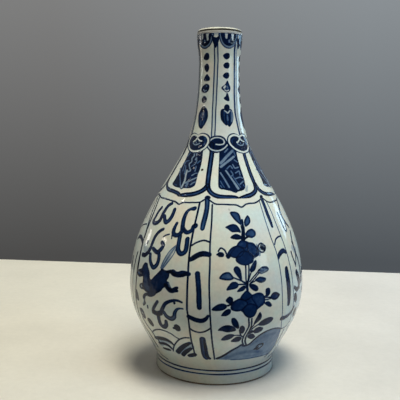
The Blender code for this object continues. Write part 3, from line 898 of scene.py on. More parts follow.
WAVES = (
    ([-12.2, 41.5, -8.5, 44.9, -1.7, 48.2, 5, 49, 11.5, 47.4, 15.3, 44.7, 18, 43.5], 0.8),
    ([18, 43.7, 14.3, 40.2, 9.8, 35, 7.4, 31, 6, 28], 0.85),
    ([18, 43.5, 22.3, 45.7, 26.6, 46.4], 0.85),
    ([-10.7, 36.6, -3.8, 38.7, 3.3, 39.3, 7.6, 38, 9.4, 35.4], (2.6, 3.4, 3.2, 2.6, 1.6)),
    ([-8.3, 32, -0.6, 33.8, 3.6, 32.8, 5.6, 30.2], (2.0, 3.0, 2.8, 1.6)),
    ([-5, 27.4, -1, 27.8, 2.5, 28.2], (1.6, 2.4, 2.2)),
    ([10.5, 28.1, 15.1, 33, 20.5, 37.7, 25.6, 41], (3.8, 3.6, 3.2, 2.2)),
    ([14.4, 26, 17.2, 29.2, 20.6, 32.2, 24.6, 35.2], (3.0, 3.2, 3.0, 2.0)),
    ([19.7, 26.2, 22.4, 27.4, 25.6, 29], (2.6, 3.4, 2.8)),
)


def paint_beast(sheet, centre, seed=0, mirrored=False, moved=(0.0, 0.0), clouds=CLOUDS):
    """A galloping winged beast, which may be moved, among scrolling clouds and over banked waves."""

    def at(points):
        return placed(points, mirrored, seed)

    def beast_at(points):
        return at(points) + moved

    sheet.draw(centre, PALE_WASHES, at)
    sheet.shape(centre, beast_at(BEAST), 0.74, 0.97, 1.0)
    sheet.lift_out(centre, BEAST_LIFTS, beast_at)
    sheet.draw(centre, BEAST_BUMPS, beast_at)
    sheet.lift_out(centre, BEAST_CREASE, beast_at)
    sheet.draw(centre, BEAST_WING, beast_at)
    sheet.draw(centre, clouds + BEAST_DOTS + WAVES, at)


SHOULDER_LINE = [-25, 157.6, -22.5, 155.6, -20, 153.6, -18, 152.6, -12, 152.4, -4, 152, -2, 151.6,
                 1.5, 150, 5, 152, 8, 152.7, 13, 152.8, 17, 154, 20, 155.5, 22, 157]
LEFT_SHOULDER_LINE = [-34, 156, -24, 155, -20, 154, -10, 153.7, -3, 153, 1, 152.5, 5.5, 150.8, 8.5, 152.5,
                      15, 153, 22, 153.7, 25.5, 156]
LEFT_PANEL_LINE = [-24, 155, -22.8, 147, -22.5, 140, -23, 132, -23.8, 122, -24.4, 112, -24.2, 100,
                   -24.8, 90]
RIGHT_SHOULDER_LINE = [22, 157, 25, 155, 28, 153, 33, 152, 40, 152.4, 48, 153, 52, 155.5]
IRON_SPOT = [-9.9, 148.4, -9, 149.6, -7.9, 148.6, -8, 147.2, -9.2, 146.9]


def paint_body(sheet):
    """All the strips and panels that reach this sheet. Each of those at the back has its own seed."""
    for number, centre in enumerate(STRIP_ANGLES):
        seed = 20 + number if number else 0
        paint_strip(sheet, centre, STRIP_LINES, STRIP_BARS, seed, mirrored=number == 2)
    paint_strip(sheet, RIGHT_STRIP, RIGHT_STRIP_LINES, RIGHT_STRIP_BARS, strength=0.84)
    paint_strip(sheet, LEFT_STRIP, LEFT_STRIP_LINES, LEFT_STRIP_BARS)
    paint_flower(sheet, FRONT_FLOWER)
    paint_flower(sheet, BACK_FLOWER, 31, True)
    paint_flower(sheet, LEFT_FLOWER, 32)
    paint_beast(sheet, FRONT_BEAST)
    edge_clouds = CLOUDS[3:8] + CLOUDS[13:] + EDGE_CLOUDS
    paint_beast(sheet, RIGHT_BEAST, 33, moved=(10.0, -6.0), clouds=edge_clouds)
    paint_beast(sheet, BACK_BEAST, 34, True)
    sheet.stroke(FRONT_FLOWER, SHOULDER_LINE, 0.85)
    sheet.stroke(FRONT_BEAST, LEFT_SHOULDER_LINE, 0.85)
    sheet.stroke(FRONT_BEAST, LEFT_PANEL_LINE, 1.7)
    sheet.stroke(FRONT_FLOWER, RIGHT_SHOULDER_LINE, 0.85)
    for centre in BACK_PANELS:
        sheet.stroke(centre, placed(SHOULDER_LINE, centre == BACK_BEAST, 0), 0.85)
    sheet.shape(FRONT_FLOWER, IRON_SPOT, 0.42, 0.10, coat="iron")


BODY_TOP = 157.0
BODY_PITCH = 0.38
for panel in range(PANELS):
    start = FRONT_STRIP + PANEL_TURN * panel
    panel_sheet = Sheet(start, start + PANEL_TURN, FOOT_TOP, BODY_TOP, BODY_PITCH)
    paint_body(panel_sheet)
    skin(f"body_panel_{panel + 1}", panel_sheet, PAINTED, ["lower_body", "girth_seam", "upper_body"])


# Shoulder
# Six hanging lappets, each outlined by a double band that its neighbour shares, with a dark cell inside.
# The cells' pale frets and branches are glaze left bare between strokes.

LAPPET_HALF = [-13.8, 204, -14.4, 198, -15, 194.5, -16.3, 190, -17.8, 184.5, -19.2, 179.5, -20.7, 174,
               -21.9, 169, -21.8, 164.5, -19.4, 160.9, -15, 158.9, -10, 158.3, -5, 158.1, -2, 157.6,
               0.5, 155.9]
FRONT_RIGHT_HALF = [0.5, 155.9, 3, 157.3, 7, 158.6, 11, 159.7, 15, 161.5, 17.5, 164, 17.8, 168, 16.8, 173,
                    15.7, 178, 15.0, 183, 14.3, 188, 13.7, 193, 13.3, 198, 12.9, 204]
NEXT_LEFT_HALF = [18.3, 169, 20.5, 164.8, 23, 162.3, 27, 160.2, 32, 159.1, 40, 158.4, 46, 156.6]
LEFT_RIGHT_HALF = [0.3, 168, -1.6, 165, -4.5, 162.7, -8, 161, -12, 159.8, -17, 159, -22, 157.8]
LEFT_LEFT_HALF = [-22, 157.8, -25, 159.8, -30, 161, -35, 161.6, -40, 162.8, -43.4, 165.6, -43.8, 169,
                  -42.4, 174, -39.4, 180, -36, 186, -32.6, 192, -29.2, 198, -26, 204]


def double_band(sheet, centre, points, width=3.5):
    """A broad stroke, dark along both edges and blue-grey between them."""
    sheet.stroke(centre, points, width, 0.54, 1.60)


FRET_CELL = [-6, 205, -8.6, 196, -9.6, 190, -11.4, 181.5, -13, 173, -13.7, 167.5, -12.5, 165.4,
             -9.3, 164.8, -4.7, 163.6, -2.8, 162.6, -0.7, 162.2, 0.8, 163.2, 5.1, 164.1, 7.6, 166.6,
             8, 171, 7.5, 177.1, 6.3, 185.7, 5.6, 193, 4.8, 205]
FRET_LINES = (
    ([-9, 187.4, -6, 190.4, -2.9, 193.7, 2.2, 198.2], 2.0, 0.34),
    ([-4.4, 197, -1.6, 199.8], 0.9, 0.40),
    ([-9.4, 184.3, -4.6, 187.9, 2.6, 193.2], 1.7, 0.30),
    ([-10.4, 179, -7.8, 172.8, -5.7, 166.9], 1.3, 0.32),
    ([-5.9, 181, -2.8, 174.6, 1.4, 165.7], (1.3, 1.4, 2.0), 0.26),
    ([-1.2, 176.6, 1, 171.6, 3.6, 166.6], 0.7, 0.42),
    ([0.6, 186.4, 1.8, 183.3, 4.8, 184], 0.9, 0.36),
    ([1.6, 179, 4.8, 180.5, 5.2, 177.1], 0.9, 0.38),
    ([1, 174.1, 4.8, 175.3, 7, 174.4], 0.9, 0.38),
    ([3.7, 169.2, 7, 171.8], 0.9, 0.36),
    ([-4.9, 182.6, -1.8, 185.2, -0.4, 183], 0.9, 0.40),
    ([-1.9, 180.8, -0.7, 177.6, -3.2, 176], 0.8, 0.40),
    ([2.6, 190.4, 4.8, 188.6], 0.9, 0.40),
    ([-11.6, 172, -10.4, 168.6, -9.4, 166.6], 0.7, 0.46),
    ([-12.2, 168.2, -11.4, 166.4], 0.6, 0.40),
    ([6.4, 168.6, 7.4, 166.8], 0.7, 0.44),
    ([3, 199, 4, 194], 0.8, 0.46),
)
BRANCH_CELL = [-17.6, 205, -21, 198, -23, 192, -25, 187, -27.5, 181, -30, 175, -32.5, 170, -34, 167.5,
               -32, 166, -28, 165, -24, 164.8, -22, 163.5, -20, 164.8, -15, 165, -12, 166, -10, 168,
               -9.3, 172, -8.8, 177, -7.5, 183, -7, 190, -7, 198, -6.6, 205]
BRANCH_LINES = (
    ([-22.2, 165, -21, 168, -20, 171, -20, 176, -19.5, 180], 1.7, 0.20),
    ([-16.4, 198.4, -14, 200.8], 0.9, 0.20),
    ([-12.6, 186, -11.4, 189, -12.4, 191.6], 0.8, 0.34),
    ([-15.6, 184, -13.4, 185.4], 0.7, 0.36),
    ([-24.4, 179.4, -24, 184, -23.4, 187], 0.8, 0.40),
    ([-19.3, 169, -16, 171, -12, 173, -9.4, 174.4], 1.0, 0.28),
    ([-23.5, 166, -25, 171, -27, 176, -28.5, 181.4], 1.0, 0.36),
    ([-21.6, 177, -21.6, 181, -22.2, 184], 1.3, 0.42),
    ([-18.6, 179, -16, 180.2, -17.4, 183, -18.4, 186, -16.2, 188, -16.5, 191, -14.6, 193.6, -15, 195.6],
     1.1, 0.26),
    ([-14, 176, -11, 178, -9.4, 178.2], 0.8, 0.34),
    ([-11.6, 180, -11.3, 184.2], 1.1, 0.40),
    ([-13, 190, -12, 191.6], 1.1, 0.30),
    ([-12, 194, -13.4, 196.4], 1.0, 0.34),
    ([-25.5, 186, -22, 188.2, -19.4, 188.8], 1.0, 0.42),
    ([-22.5, 192.6, -19, 196, -16, 197.2], 0.9, 0.42),
    ([-10.6, 187, -8.4, 189.2], 1.0, 0.42),
    ([-14, 168, -12, 169.6, -10, 170.6], 0.9, 0.36),
    ([-31, 167.2, -28, 166.6], 0.6, 0.5),
    ([-17.6, 166.4, -17, 169], 2.0, 0.40),
)


def paint_cell(sheet, centre, cell, lines, mirrored=False):
    """A dark cell with pale lines lifted out of it."""

    def at(points):
        return placed(points, mirrored, 0)

    sheet.shape(centre, at(cell), 0.88, 1.0, 1.0)
    sheet.lift_out(centre, lines, at)


BRANCH_ANGLES = (FRONT_STRIP, 103.5, 229.5)
LARGE_HEAD = [0, 211, 2.5, 212.4, 6, 212.6, 9.6, 211.2, 12, 208.2, 12.3, 204.5, 10.8, 200, 7.4, 197.2,
              3.2, 196, -1, 195.9, -5.6, 197.2, -9.6, 200.2, -12, 204.4, -11.8, 208.4, -9.6, 211.4,
              -6, 212.8, -2.6, 212.2]
LARGE_BAND = [0, 209.8, 2.3, 211.1, 5.2, 211.3, 8.2, 210.2, 10.4, 207.7, 10.9, 204.5, 9.6, 201, 6.6, 198.5,
              3, 197.4, -1, 197.3, -5, 198.6, -8.5, 201.2, -10.6, 204.6, -10.4, 207.8, -8.6, 210.2,
              -5.6, 211.4, -2.4, 211, 0, 209.8]
SMALL_HEAD = [-8.3, 204, -7.4, 207.4, -5, 209.6, -1.5, 210.7, 2.2, 210.6, 5.4, 209, 7.4, 206, 8.6, 203.8,
              6.8, 200.4, 4, 198, 0, 196.6, -4, 196.9, -7, 199, -8.8, 202]
LARGE_LIFTS = (
    (LARGE_BAND, 1.45, 0.0),
    ([0, 209.6, -0.4, 208, -1.9, 206.4, -3.7, 205.3], 1.1, 0.03),
    ([0, 209.6, 0.9, 208, 2.9, 206.5, 5, 206], 1.1, 0.03),
    ([-3.6, 204.3, -1.8, 203.2, 0, 202.8, 2, 203.2, 3.7, 204.3], 0.9, 0.24),
    ([0, 205, 0, 204.7], 1.1, 0.38),
    ([7.6, 208.6, 8.4, 206, 7.8, 203], 1.6, 0.58),
    ([-5.6, 209, -7.6, 207.4, -8.2, 205], 1.0, 0.62),
)
SMALL_LIFTS = (
    ([-7, 205.2, -5, 207.6, -2, 209.1, 1.5, 209.1, 4.2, 207.8, 5.4, 205.7, 4.6, 204, 2, 203.3, -1.2, 203.6],
     1.0, 0.12),
    ([-7.6, 202.2, -5.6, 199.7, -2, 198.3, 2, 198.5, 5.5, 200.5, 7.8, 203], 1.1, 0.14),
)
SMALL_HEAD_ANGLES = (-0.9, 89.1, 179.1, 269.1)
LARGE_HEAD_ANGLES = (44.8, 134.8, 224.8, -42.6)


def paint_collar(sheet):
    """The scroll heads round the neck's root: dark cushions with a band of bare glaze round each, and curls
    lifted out inside."""
    for centre in SMALL_HEAD_ANGLES:
        sheet.shape(centre, SMALL_HEAD, 0.90)
        sheet.lift_out(centre, SMALL_LIFTS)
    for centre in LARGE_HEAD_ANGLES:
        sheet.shape(centre, LARGE_HEAD, 0.84)
        sheet.lift_out(centre, LARGE_LIFTS)


def paint_shoulder(sheet):
    """The lappets, their cells, dark dots where they meet over the strips, and the collar of scroll heads.
    """
    for centre in BACK_PANELS:
        double_band(sheet, centre, LAPPET_HALF)
        double_band(sheet, centre, placed(LAPPET_HALF, True, 0))
    double_band(sheet, RIGHT_BEAST, placed(LAPPET_HALF, True, 0))
    double_band(sheet, FRONT_FLOWER, LAPPET_HALF)
    double_band(sheet, FRONT_FLOWER, FRONT_RIGHT_HALF)
    double_band(sheet, FRONT_FLOWER, NEXT_LEFT_HALF, 2.9)
    double_band(sheet, FRONT_STRIP, LEFT_RIGHT_HALF)
    double_band(sheet, FRONT_STRIP, LEFT_LEFT_HALF, 2.9)
    for centre in (FRONT_FLOWER, BACK_FLOWER, LEFT_FLOWER):
        paint_cell(sheet, centre, FRET_CELL, FRET_LINES, centre == BACK_FLOWER)
    for centre in BRANCH_ANGLES:
        paint_cell(sheet, centre, BRANCH_CELL, BRANCH_LINES)
    for centre in STRIP_ANGLES:
        sheet.stroke(centre, [1.6, 157.2, 1.6, 156.2], (4.4, 4.0))
    sheet.stroke(FRONT_FLOWER, [22.0, 157.2, 22.1, 156.2], (3.6, 3.2))
    sheet.stroke(FRONT_FLOWER, [9.8, 167.6, 8.2, 163.8], (1.0, 2.6), 0.20, 0.14)
    sheet.stroke(FRONT_STRIP, [-5.7, 181.2, -5.5, 181.4], 1.6, 0.9, coat="iron")
    paint_collar(sheet)


SHOULDER_TOP = 198.0
shoulder_sheet = Sheet(*TURN_ENDS, BODY_TOP, SHOULDER_TOP, 0.37)
paint_shoulder(shoulder_sheet)
skin("shoulder", shoulder_sheet, PAINTED, ["upper_body"])


# Neck
# Six narrow panels between double lines, each with a string of beads, a jewel and a tassel, rise out of the
# collar of scroll heads round the root. Six scallops hang under the rounded lip, which has brown and grey
# rings on it.

FRONT_DIVIDER = (
    np.array((217.0, 231.0, 244.0, 259.0, 271.0, 279.0)),
    np.array((-9.8, -10.7, -10.2, -9.3, -8.3, -9.0)),
)
RIGHT_DIVIDER = (
    np.array((213.0, 222.0, 230.0, 242.0, 256.0, 272.0, 279.0)),
    np.array((51.3, 49.7, 47.4, 49.2, 51.4, 51.0, 47.8)),
)
LEFT_DIVIDER = (
    np.array((204.0, 216.0, 223.5, 231.7, 246.0, 260.0, 270.4, 280.0)),
    np.array((-68.4, -69.6, -70.9, -72.6, -74.6, -75.6, -74.4, -73.2)),
)
DIVIDERS = (
    (FRONT_DIVIDER, 0.70, 0.66),
    (RIGHT_DIVIDER, 1.50, 0.20),
    (109.0, 0.70, 0.70),
    (169.5, 0.70, 0.70),
    (229.5, 0.70, 0.70),
    (LEFT_DIVIDER, 1.0, 1.9),
)
STRING_ANGLES = (20.4, 79.0, 139.5, 199.5, 259.5)
LEANING_STRING = (
    np.array((217.0, 230.0, 240.0, 249.0, 257.0, 266.0, 276.0)),
    np.array((-38.6, -39.6, -39.4, -37.9, -36.4, -37.6, -37.5)),
)
STRIPED_BEADS = (
    ([-3, 274.4, -1, 276.2, 1.4, 276.4, 2.4, 274.4, 1.4, 272.4, -0.8, 271.9], 0.9),
    ([-2.5, 267.2, -0.6, 269, 1.6, 269, 2.4, 266.8, 1.4, 264.9, -1.2, 265], 0.85),
    ([-2.8, 258.8, -0.8, 261.1, 1.6, 261, 2.3, 258.8, 0.9, 256.9, -1.4, 257.1], 0.8),
    ([0.8, 254.8, -1, 252, -4, 249.3, -2, 247, 0, 245.9, 2.5, 246.8, 3.5, 249.5, 2.3, 252], 0.62),
    ([0.5, 245.2, -0.6, 242.6, -2.2, 241, 0, 239.2, 2.3, 239.3, 1.9, 242.5], 0.9),
    ([-2.2, 233.6, -1, 235.8, 1.2, 235.9, 2.4, 233.8, 1.6, 231.6, -1.2, 231.6], 0.9),
)
STRIPED_TASSEL = [0, 231.5, -3, 232.5, -5, 231, -5.3, 226, -4.8, 223.5, -3, 221, -1.2, 219.3, 0, 219.8,
                  1.2, 218.3, 2.8, 219.5, 4.5, 222, 5.5, 225.5, 5.3, 229, 4, 232, 2, 232.5]
STRIPES = (
    ([-3.6, 231, -4, 226, -3, 222], (1.6, 2.2, 1.4), 0.95, 0.9),
    ([-1.2, 228.6, -1.5, 225, -0.8, 220.6], (0.8, 1.2, 1.0), 0.92, 0.85),
    ([1.6, 228.6, 2, 225, 1.6, 220], (1.0, 1.6, 1.2), 0.90, 0.85),
)
STRIPED_LIFTS = (
    ([-1.9, 249.4, -1.1, 250.6], 1.4, 0.06),
    ([-1.4, 247.6, 0.2, 246.9, 1.8, 247.6], 0.9, 0.10),
    ([0.6, 250.4, 1.2, 249.2], 0.8, 0.36),
    ([4.2, 230.6, 4.7, 226, 3.9, 222.6], (1.0, 1.6, 1.2), 0.36),
    ([0.2, 227.4, 0.4, 223.4], (0.7, 0.8), 0.40),
    ([-2, 231.2, -0.6, 230.2, 0.4, 229.2, 1.6, 230.2, 2.6, 231.2], 0.8, 0.14),
)
STRIPED_STRING = (STRIPED_BEADS, (STRIPED_TASSEL, 0.60, 0.98, 0.7), STRIPES, STRIPED_LIFTS)
DARK_BEADS = (
    ([-3.2, 273, -0.6, 276.4, 2, 276, 2.5, 273, 1, 271.3, -1.5, 271.6], 0.95),
    ([-2.1, 266.5, 0.5, 268.3, 2.3, 266, 2, 263.5, 0.3, 261.9, -1.6, 263.8], 0.95),
    ([0, 259.9, -2.8, 256.3, -1, 254.8, 2.5, 255, 3, 257, 1.5, 259], 0.95),
    ([0.5, 252.4, -2, 251.6, -4.8, 249, -4, 246.8, -1.5, 245.4, 1.5, 245.9, 3.1, 248, 3, 251], 0.85),
    ([-3, 240.2, -1.6, 242.4, 0.6, 242.4, 2.2, 240, 0.6, 237.7, -1.8, 237.8], 0.95),
)
DARK_TASSEL = [0.2, 234.4, -2, 233.4, -3.4, 231, -4.9, 228.6, -4.9, 224.5, -3.8, 220.5, -2.2, 217.6,
               0.4, 216.4, 2.2, 218.6, 4, 222, 4.9, 226, 4.3, 230, 2.6, 233]
DARK_KNOT = (([0, 232.6, 0, 231.4], 3.0),)
DARK_LIFTS = (
    ([-2.4, 248, -1, 246.9, 1, 247.3], 0.8, 0.30),
    ([0.4, 250.9, 0.8, 250.6], 1.2, 0.40),
    ([-1.4, 228.8, 0.4, 229.4, 1.6, 227.4, 0.4, 225.4, -1.2, 226.4, -1.4, 228.8], 0.6, 0.48),
    ([-1.6, 223, -1, 219.6], (1.0, 1.4), 0.56),
    ([1.6, 223, 1.4, 219.8], (0.7, 0.9), 0.60),
)
DARK_STRING = (DARK_BEADS, (DARK_TASSEL, 0.76, 1.0, 0.9), DARK_KNOT, DARK_LIFTS)
DIVIDER_LEVELS = (204.0, 230.0, 255.0, 284.0)
DIVIDER_HALF = 1.35


def paint_string(sheet, centre, beads, tassel, strokes, lifts):
    """Beads and a jewel over a tassel, then the strokes on the tassel, and then the pale lifts."""
    for points, wash in beads:
        sheet.shape(centre, points, wash, 1.0, 0.6)
    sheet.shape(centre, *tassel)
    sheet.draw(centre, strokes)
    sheet.lift_out(centre, lifts)


def paint_neck(sheet):
    """The double lines with a thin wash between, the strings, the collar over their feet, and the mouth."""
    for angle, left, right in DIVIDERS:
        sheet.stroke(angle, [(0.0, level) for level in DIVIDER_LEVELS], 2.4, 0.10, 0.10)
        for side, width in ((-DIVIDER_HALF, left), (DIVIDER_HALF, right)):
            sheet.stroke(angle, [(side, level) for level in DIVIDER_LEVELS], width, 0.66, 0.70)
    for number, angle in enumerate(STRING_ANGLES):
        paint_string(sheet, angle, *(DARK_STRING if number % 2 else STRIPED_STRING))
    paint_string(sheet, LEANING_STRING, *DARK_STRING)
    paint_shoulder(sheet)
    paint_mouth(sheet)


SCALLOP_ANGLES = (-41.4, 23.8, 82.5, 140.0, 199.0, 259.0)
SPOT_ANGLES = (-10.0, 57.0, 111.0, 169.5, 229.0, 289.0)
BLUE_TOP = 291.7
SCALLOP = [-7.6, 292, -7.4, 286.5, -5.5, 283, -3, 280.9, 0, 280.1, 3, 280.8, 5.6, 283, 7.3, 286.4,
           7.7, 292]
SCALLOP_FIELD = [-6, 292.4, -5.7, 287, -3.9, 283.9, 0, 282.1, 3.9, 283.9, 5.7, 287, 6, 292.4]
SCALLOP_DROPS = (
    ([-2.4, 291.6, -2.3, 288.2], (2.2, 1.5), 0.12),
    ([3.1, 291.4, 3.2, 287.0], (2.4, 1.5), 0.12),
    ([0.3, 286.4, 0.3, 285.2], 1.4, 0.32),
)
CORNER_SPOT = [-3.2, 290.4, -1.2, 288.6, 1.2, 288.4, 3.2, 290.4, 2.6, 286.6, 1.5, 283.6, 0, 280.4,
               -1.5, 283.4, -2.6, 286.4]


def paint_mouth(sheet):
    """Six scallops hang from a line under the lip, each a double edge round a dark field with three bare
    drops, and a small dark spot fills the corner between each two."""
    for angle in SCALLOP_ANGLES:
        sheet.shape(angle, SCALLOP, 0.30, 0.92, 0.55)
        sheet.shape(angle, SCALLOP_FIELD, 0.86)
        sheet.lift_out(angle, SCALLOP_DROPS)
    for angle in SPOT_ANGLES:
        sheet.shape(angle, CORNER_SPOT, 0.84)
        sheet.stroke(angle, [-0.8, 291, 0.8, 290.8], 2.0, 0.13, 0.12)
    sheet.ring(BLUE_TOP, 0.5, 0.66, sway=0.12)
    sheet.ring(293.2, 2.4, 0.27, "iron")
    sheet.ring(294.7, 1.5, 1.0, "iron", sway=0.12)
    sheet.ring(CREST, 2.8, 0.46, "iron", sway=0.3)


NECK_SPLIT = 243.0
for name, low, high, nodes in (
    ("neck_root", SHOULDER_TOP, NECK_SPLIT, ["neck_seam", "neck"]),
    ("neck_and_mouth", NECK_SPLIT, CREST, ["neck"]),
):
    neck_sheet = Sheet(*TURN_ENDS, low, high, 0.32)
    paint_neck(neck_sheet)
    skin(name, neck_sheet, PAINTED, nodes)


# Inside
# The hollow, glazed plain white: down the neck from the lip's crest, out under the shoulder and in to the
# floor. The wall is 3 to 4 mm thick, thinner towards the waist.

BODY_WALL = 4.2
NECK_WALL = 3.2
FLOOR_LEVEL = 16.1
FLOOR_CORNER = 26.1


def inner_profile():
    """The inner side from the crest down: the outer radius less the wall measured level, which is the true
    wall over the cosine of the lean, then a quarter turn into the floor and a flat run to the axis."""
    heights = np.linspace(STATIONS["lip"][1], FLOOR_CORNER, 150)
    outer = np.interp(heights, OUTLINE[2], OUTLINE[1])
    lean = np.gradient(outer, heights)
    wall = np.interp(heights, (STATIONS["shoulder"][1], STATIONS["waist"][1]), (BODY_WALL, NECK_WALL))
    side = np.column_stack((outer - wall * np.hypot(1.0, lean), heights))
    crest = STATIONS["lip"][0] - LIP_CREST_IN
    turn = np.linspace(math.pi / 2, 0.0, 10)[:-1]
    over_radius = crest - (crest - side[0, 0]) * np.cos(turn)
    over = np.column_stack((over_radius, heights[0] + LIP_ROUND * np.sin(turn)))
    corner = np.linspace(0.0, math.pi / 2, 12)[1:]
    depth = FLOOR_CORNER - FLOOR_LEVEL
    reach = depth * (1.0 + lean[-1])
    in_radius = side[-1, 0] - reach * (1 - np.cos(corner))
    round_in = np.column_stack((in_radius, FLOOR_CORNER - depth * np.sin(corner)))
    floor = np.column_stack((np.linspace(round_in[-1, 0], 0.8, 30)[1:], np.full(29, FLOOR_LEVEL)))
    return np.concatenate((over, side, round_in, floor))


HOLLOW_NODES = ["neck", "upper_body", "lower_body"]
turned("inside", inner_profile(), 160, PLAIN, HOLLOW_NODES, pole="last")


# Floor, light and view
# A plain pale cloth with the vase on it, before a plain grey surround. Broad soft lamps light it from
# overhead, in front and the sides, cooler on the right. Smaller ones, mirrored in the glaze, are its window
# and its highlights.

# The cloth's colour at the left and the right, with painted light: warm on the left and cool on the right.
FLOOR_LEFT_WARM_LIGHT = (0.665, 0.632, 0.552)
FLOOR_RIGHT_COOL_LIGHT = (0.645, 0.627, 0.605)
FLOOR_CORNERS = ((-0.62, -0.102), (0.66, -0.102), (0.62, 0.33), (-0.66, 0.42))


def pale_floor():
    """Pale matt cream cloth, a little uneven in colour and in height, with painted light: cooler to the
    right, as the cool lamps there make it, and paler at the back."""
    recipe = Recipe(bpy.data.materials.new("pale_floor"))
    place = recipe.place()
    clouds = recipe.spread(recipe.noise(place, 14.0, 3.0), 0.3, 0.7, 0.96, 1.04)
    woven = recipe.spread(recipe.noise(place, 160.0, 4.0, 0.7), 0.3, 0.7, 0.97, 1.03)
    across, depth, _ = recipe.add("ShaderNodeSeparateXYZ", Vector=place).outputs
    # Painted light: the cloth turns paler towards the back and cooler towards the right.
    paler_back_light = recipe.spread(depth, 0.0, 0.35, 1.0, 1.20)
    uneven = recipe.maths("MULTIPLY", recipe.maths("MULTIPLY", clouds, woven), paler_back_light)
    cloth = recipe.mix(recipe.spread(across, -0.20, 0.20), FLOOR_LEFT_WARM_LIGHT, FLOOR_RIGHT_COOL_LIGHT)
    recipe.set(recipe.shader, "Base Color", recipe.mix(1.0, cloth, uneven, "MULTIPLY"))
    nap = recipe.bump(recipe.noise(place, 90.0, 4.0, 0.6), 0.25, 0.002)
    recipe.set(recipe.shader, "Normal", nap)
    recipe.set(recipe.shader, "Roughness", 0.9)
    return recipe.owner


floor_mesh = bpy.data.meshes.new("pale_floor")
floor_mesh.from_pydata([(x, y, 0.0) for x, y in FLOOR_CORNERS], [], [(0, 1, 2, 3)])
floor_mesh.materials.append(pale_floor())
floor = bpy.data.objects.new("pale_floor", floor_mesh)
bpy.context.scene.collection.objects.link(floor)


def softbox(name, azimuth, elevation, distance, size, power, colour, mirrored):
    """A rectangular lamp that points at the middle of the vase. Azimuth 0 is the camera's side and 90 the
    right, as seen from there. An unmirrored lamp lights the scene but is not reflected in the glaze."""
    lamp = bpy.data.lights.new(name, "AREA")
    lamp.shape = "RECTANGLE"
    lamp.size, lamp.size_y = size
    lamp.energy = power
    lamp.color = colour
    item = bpy.data.objects.new(name, lamp)
    item.visible_camera = False
    item.visible_glossy = mirrored
    bpy.context.scene.collection.objects.link(item)
    turn, rise = math.radians(azimuth), math.radians(elevation)
    level = distance * math.cos(rise)
    height = LAMP_TARGET + distance * math.sin(rise)
    item.location = (level * math.sin(turn), -level * math.cos(turn), height)
    item.rotation_euler = (math.pi / 2 - rise, 0.0, turn)


LAMP_TARGET = 0.15

# Each lamp's name, azimuth and elevation in degrees, distance, width and height in metres, power in watts,
# colour, and whether the glaze mirrors it.
LAMPS = (
    ("ceiling", 180.0, 88.5, 1.20, (0.36, 0.36), 7.3, (1.0, 0.97, 0.81), False),
    ("front", 25.0, 68.0, 1.10, (0.38, 0.38), 7.4, (1.0, 0.93, 0.81), False),
    ("low_front", 0.0, -4.0, 1.20, (0.50, 0.25), 1.85, (1.0, 0.97, 0.88), False),
    ("right", 74.0, 71.0, 1.20, (0.40, 0.40), 3.2, (0.76, 0.94, 1.0), False),
    ("left", -80.0, 62.0, 1.20, (0.40, 0.40), 0.6, (0.96, 1.0, 0.96), False),
    ("back", 180.0, 8.0, 1.30, (0.50, 0.25), 1.4, (1.0, 0.98, 0.93), False),
    ("side_glow", 76.0, 10.0, 1.30, (0.40, 0.40), 3.0, (0.15, 0.52, 1.0), False),
    ("side_shine", 64.0, 10.0, 1.30, (0.32, 0.26), 1.5, (0.62, 0.86, 1.0), True),
    ("window", 126.0, 12.5, 1.30, (0.36, 0.22), 1.4, (0.42, 0.72, 1.0), True),
    ("left_streak", -115.0, 8.0, 1.30, (0.14, 0.16), 0.50, (1.0, 0.98, 0.92), True),
    ("warm_low", -80.5, 17.5, 1.30, (0.18, 0.045), 0.40, (1.0, 0.92, 0.78), True),
    ("warm_high", -77.0, 39.0, 1.30, (0.06, 0.07), 0.40, (1.0, 0.94, 0.84), True),
)
for lamp_settings in LAMPS:
    softbox(*lamp_settings)


WALL_LEFT = ((0.072, 0.071, 0.069), (0.250, 0.250, 0.248))
WALL_RIGHT = ((0.078, 0.088, 0.098), (0.302, 0.330, 0.350))
BEHIND_CAMERA = 0.35
ROOM_LIGHT = 0.065
ROOM_TINT = (0.97, 0.98, 1.0, 1.0)


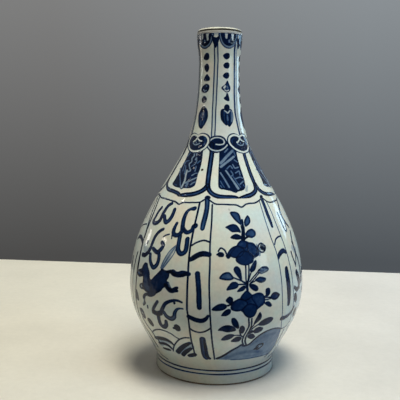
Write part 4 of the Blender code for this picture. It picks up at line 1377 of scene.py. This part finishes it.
def surround():
    """A plain grey that the camera, reflections and glass see, darker low down and towards -Y, and an even
    soft light on the rest."""
    world = bpy.data.worlds.new("surround")
    bpy.context.scene.world = world
    recipe = Recipe(world)
    recipe.tree.nodes.clear()
    rays = recipe.add("ShaderNodeLightPath").outputs
    seen = recipe.maths("MAXIMUM", rays["Is Camera Ray"], rays["Is Glossy Ray"])
    seen = recipe.maths("MAXIMUM", seen, rays["Is Transmission Ray"])
    way = recipe.add("ShaderNodeTexCoord").outputs["Generated"]
    across, depth, up = recipe.add("ShaderNodeSeparateXYZ", Vector=way).outputs
    rise = recipe.spread(up, -0.20, 0.30)
    wall = recipe.mix(
        recipe.spread(across, -0.25, 0.22), recipe.mix(rise, *WALL_LEFT), recipe.mix(rise, *WALL_RIGHT)
    )
    dimmed = recipe.spread(depth, -0.55, 0.20, BEHIND_CAMERA, 1.0)
    shown = recipe.add("ShaderNodeBackground", Color=wall, Strength=dimmed)
    light = recipe.add("ShaderNodeBackground", Color=ROOM_TINT, Strength=ROOM_LIGHT)
    both = recipe.add("ShaderNodeMixShader")
    for number, socket in enumerate((seen, light.outputs[0], shown.outputs[0])):
        recipe.set(both, str(number), socket)
    recipe.add("ShaderNodeOutputWorld", Surface=both.outputs[0])


surround()

CAMERA_PLACE = (0.0, -0.51699, 0.19958)
CAMERA_DOWN = 6.503
CAMERA_TURN = -1.590
CAMERA_ROLL = -0.759
CAMERA_LENS = 55.776


def place_camera():
    """The camera looks along its turned and lowered forward line, and then rolls about it."""
    down, turn, roll = (math.radians(angle) for angle in (CAMERA_DOWN, CAMERA_TURN, CAMERA_ROLL))
    forward = np.array((math.sin(turn) * math.cos(down), math.cos(turn) * math.cos(down), -math.sin(down)))
    level = np.array((math.cos(turn), -math.sin(turn), 0.0))
    below = np.cross(forward, level)
    right = math.cos(roll) * level + math.sin(roll) * below
    up = math.sin(roll) * level - math.cos(roll) * below
    data = bpy.data.cameras.new("camera")
    data.lens = CAMERA_LENS
    data.sensor_width = 36.0
    camera = bpy.data.objects.new("camera", data)
    bpy.context.scene.collection.objects.link(camera)
    matrix = np.eye(4)
    matrix[:3, 0], matrix[:3, 1], matrix[:3, 2], matrix[:3, 3] = right, up, -forward, CAMERA_PLACE
    camera.matrix_world = matrix.T
    bpy.context.scene.camera = camera


place_camera()
bpy.context.scene.view_settings.view_transform = "Standard"
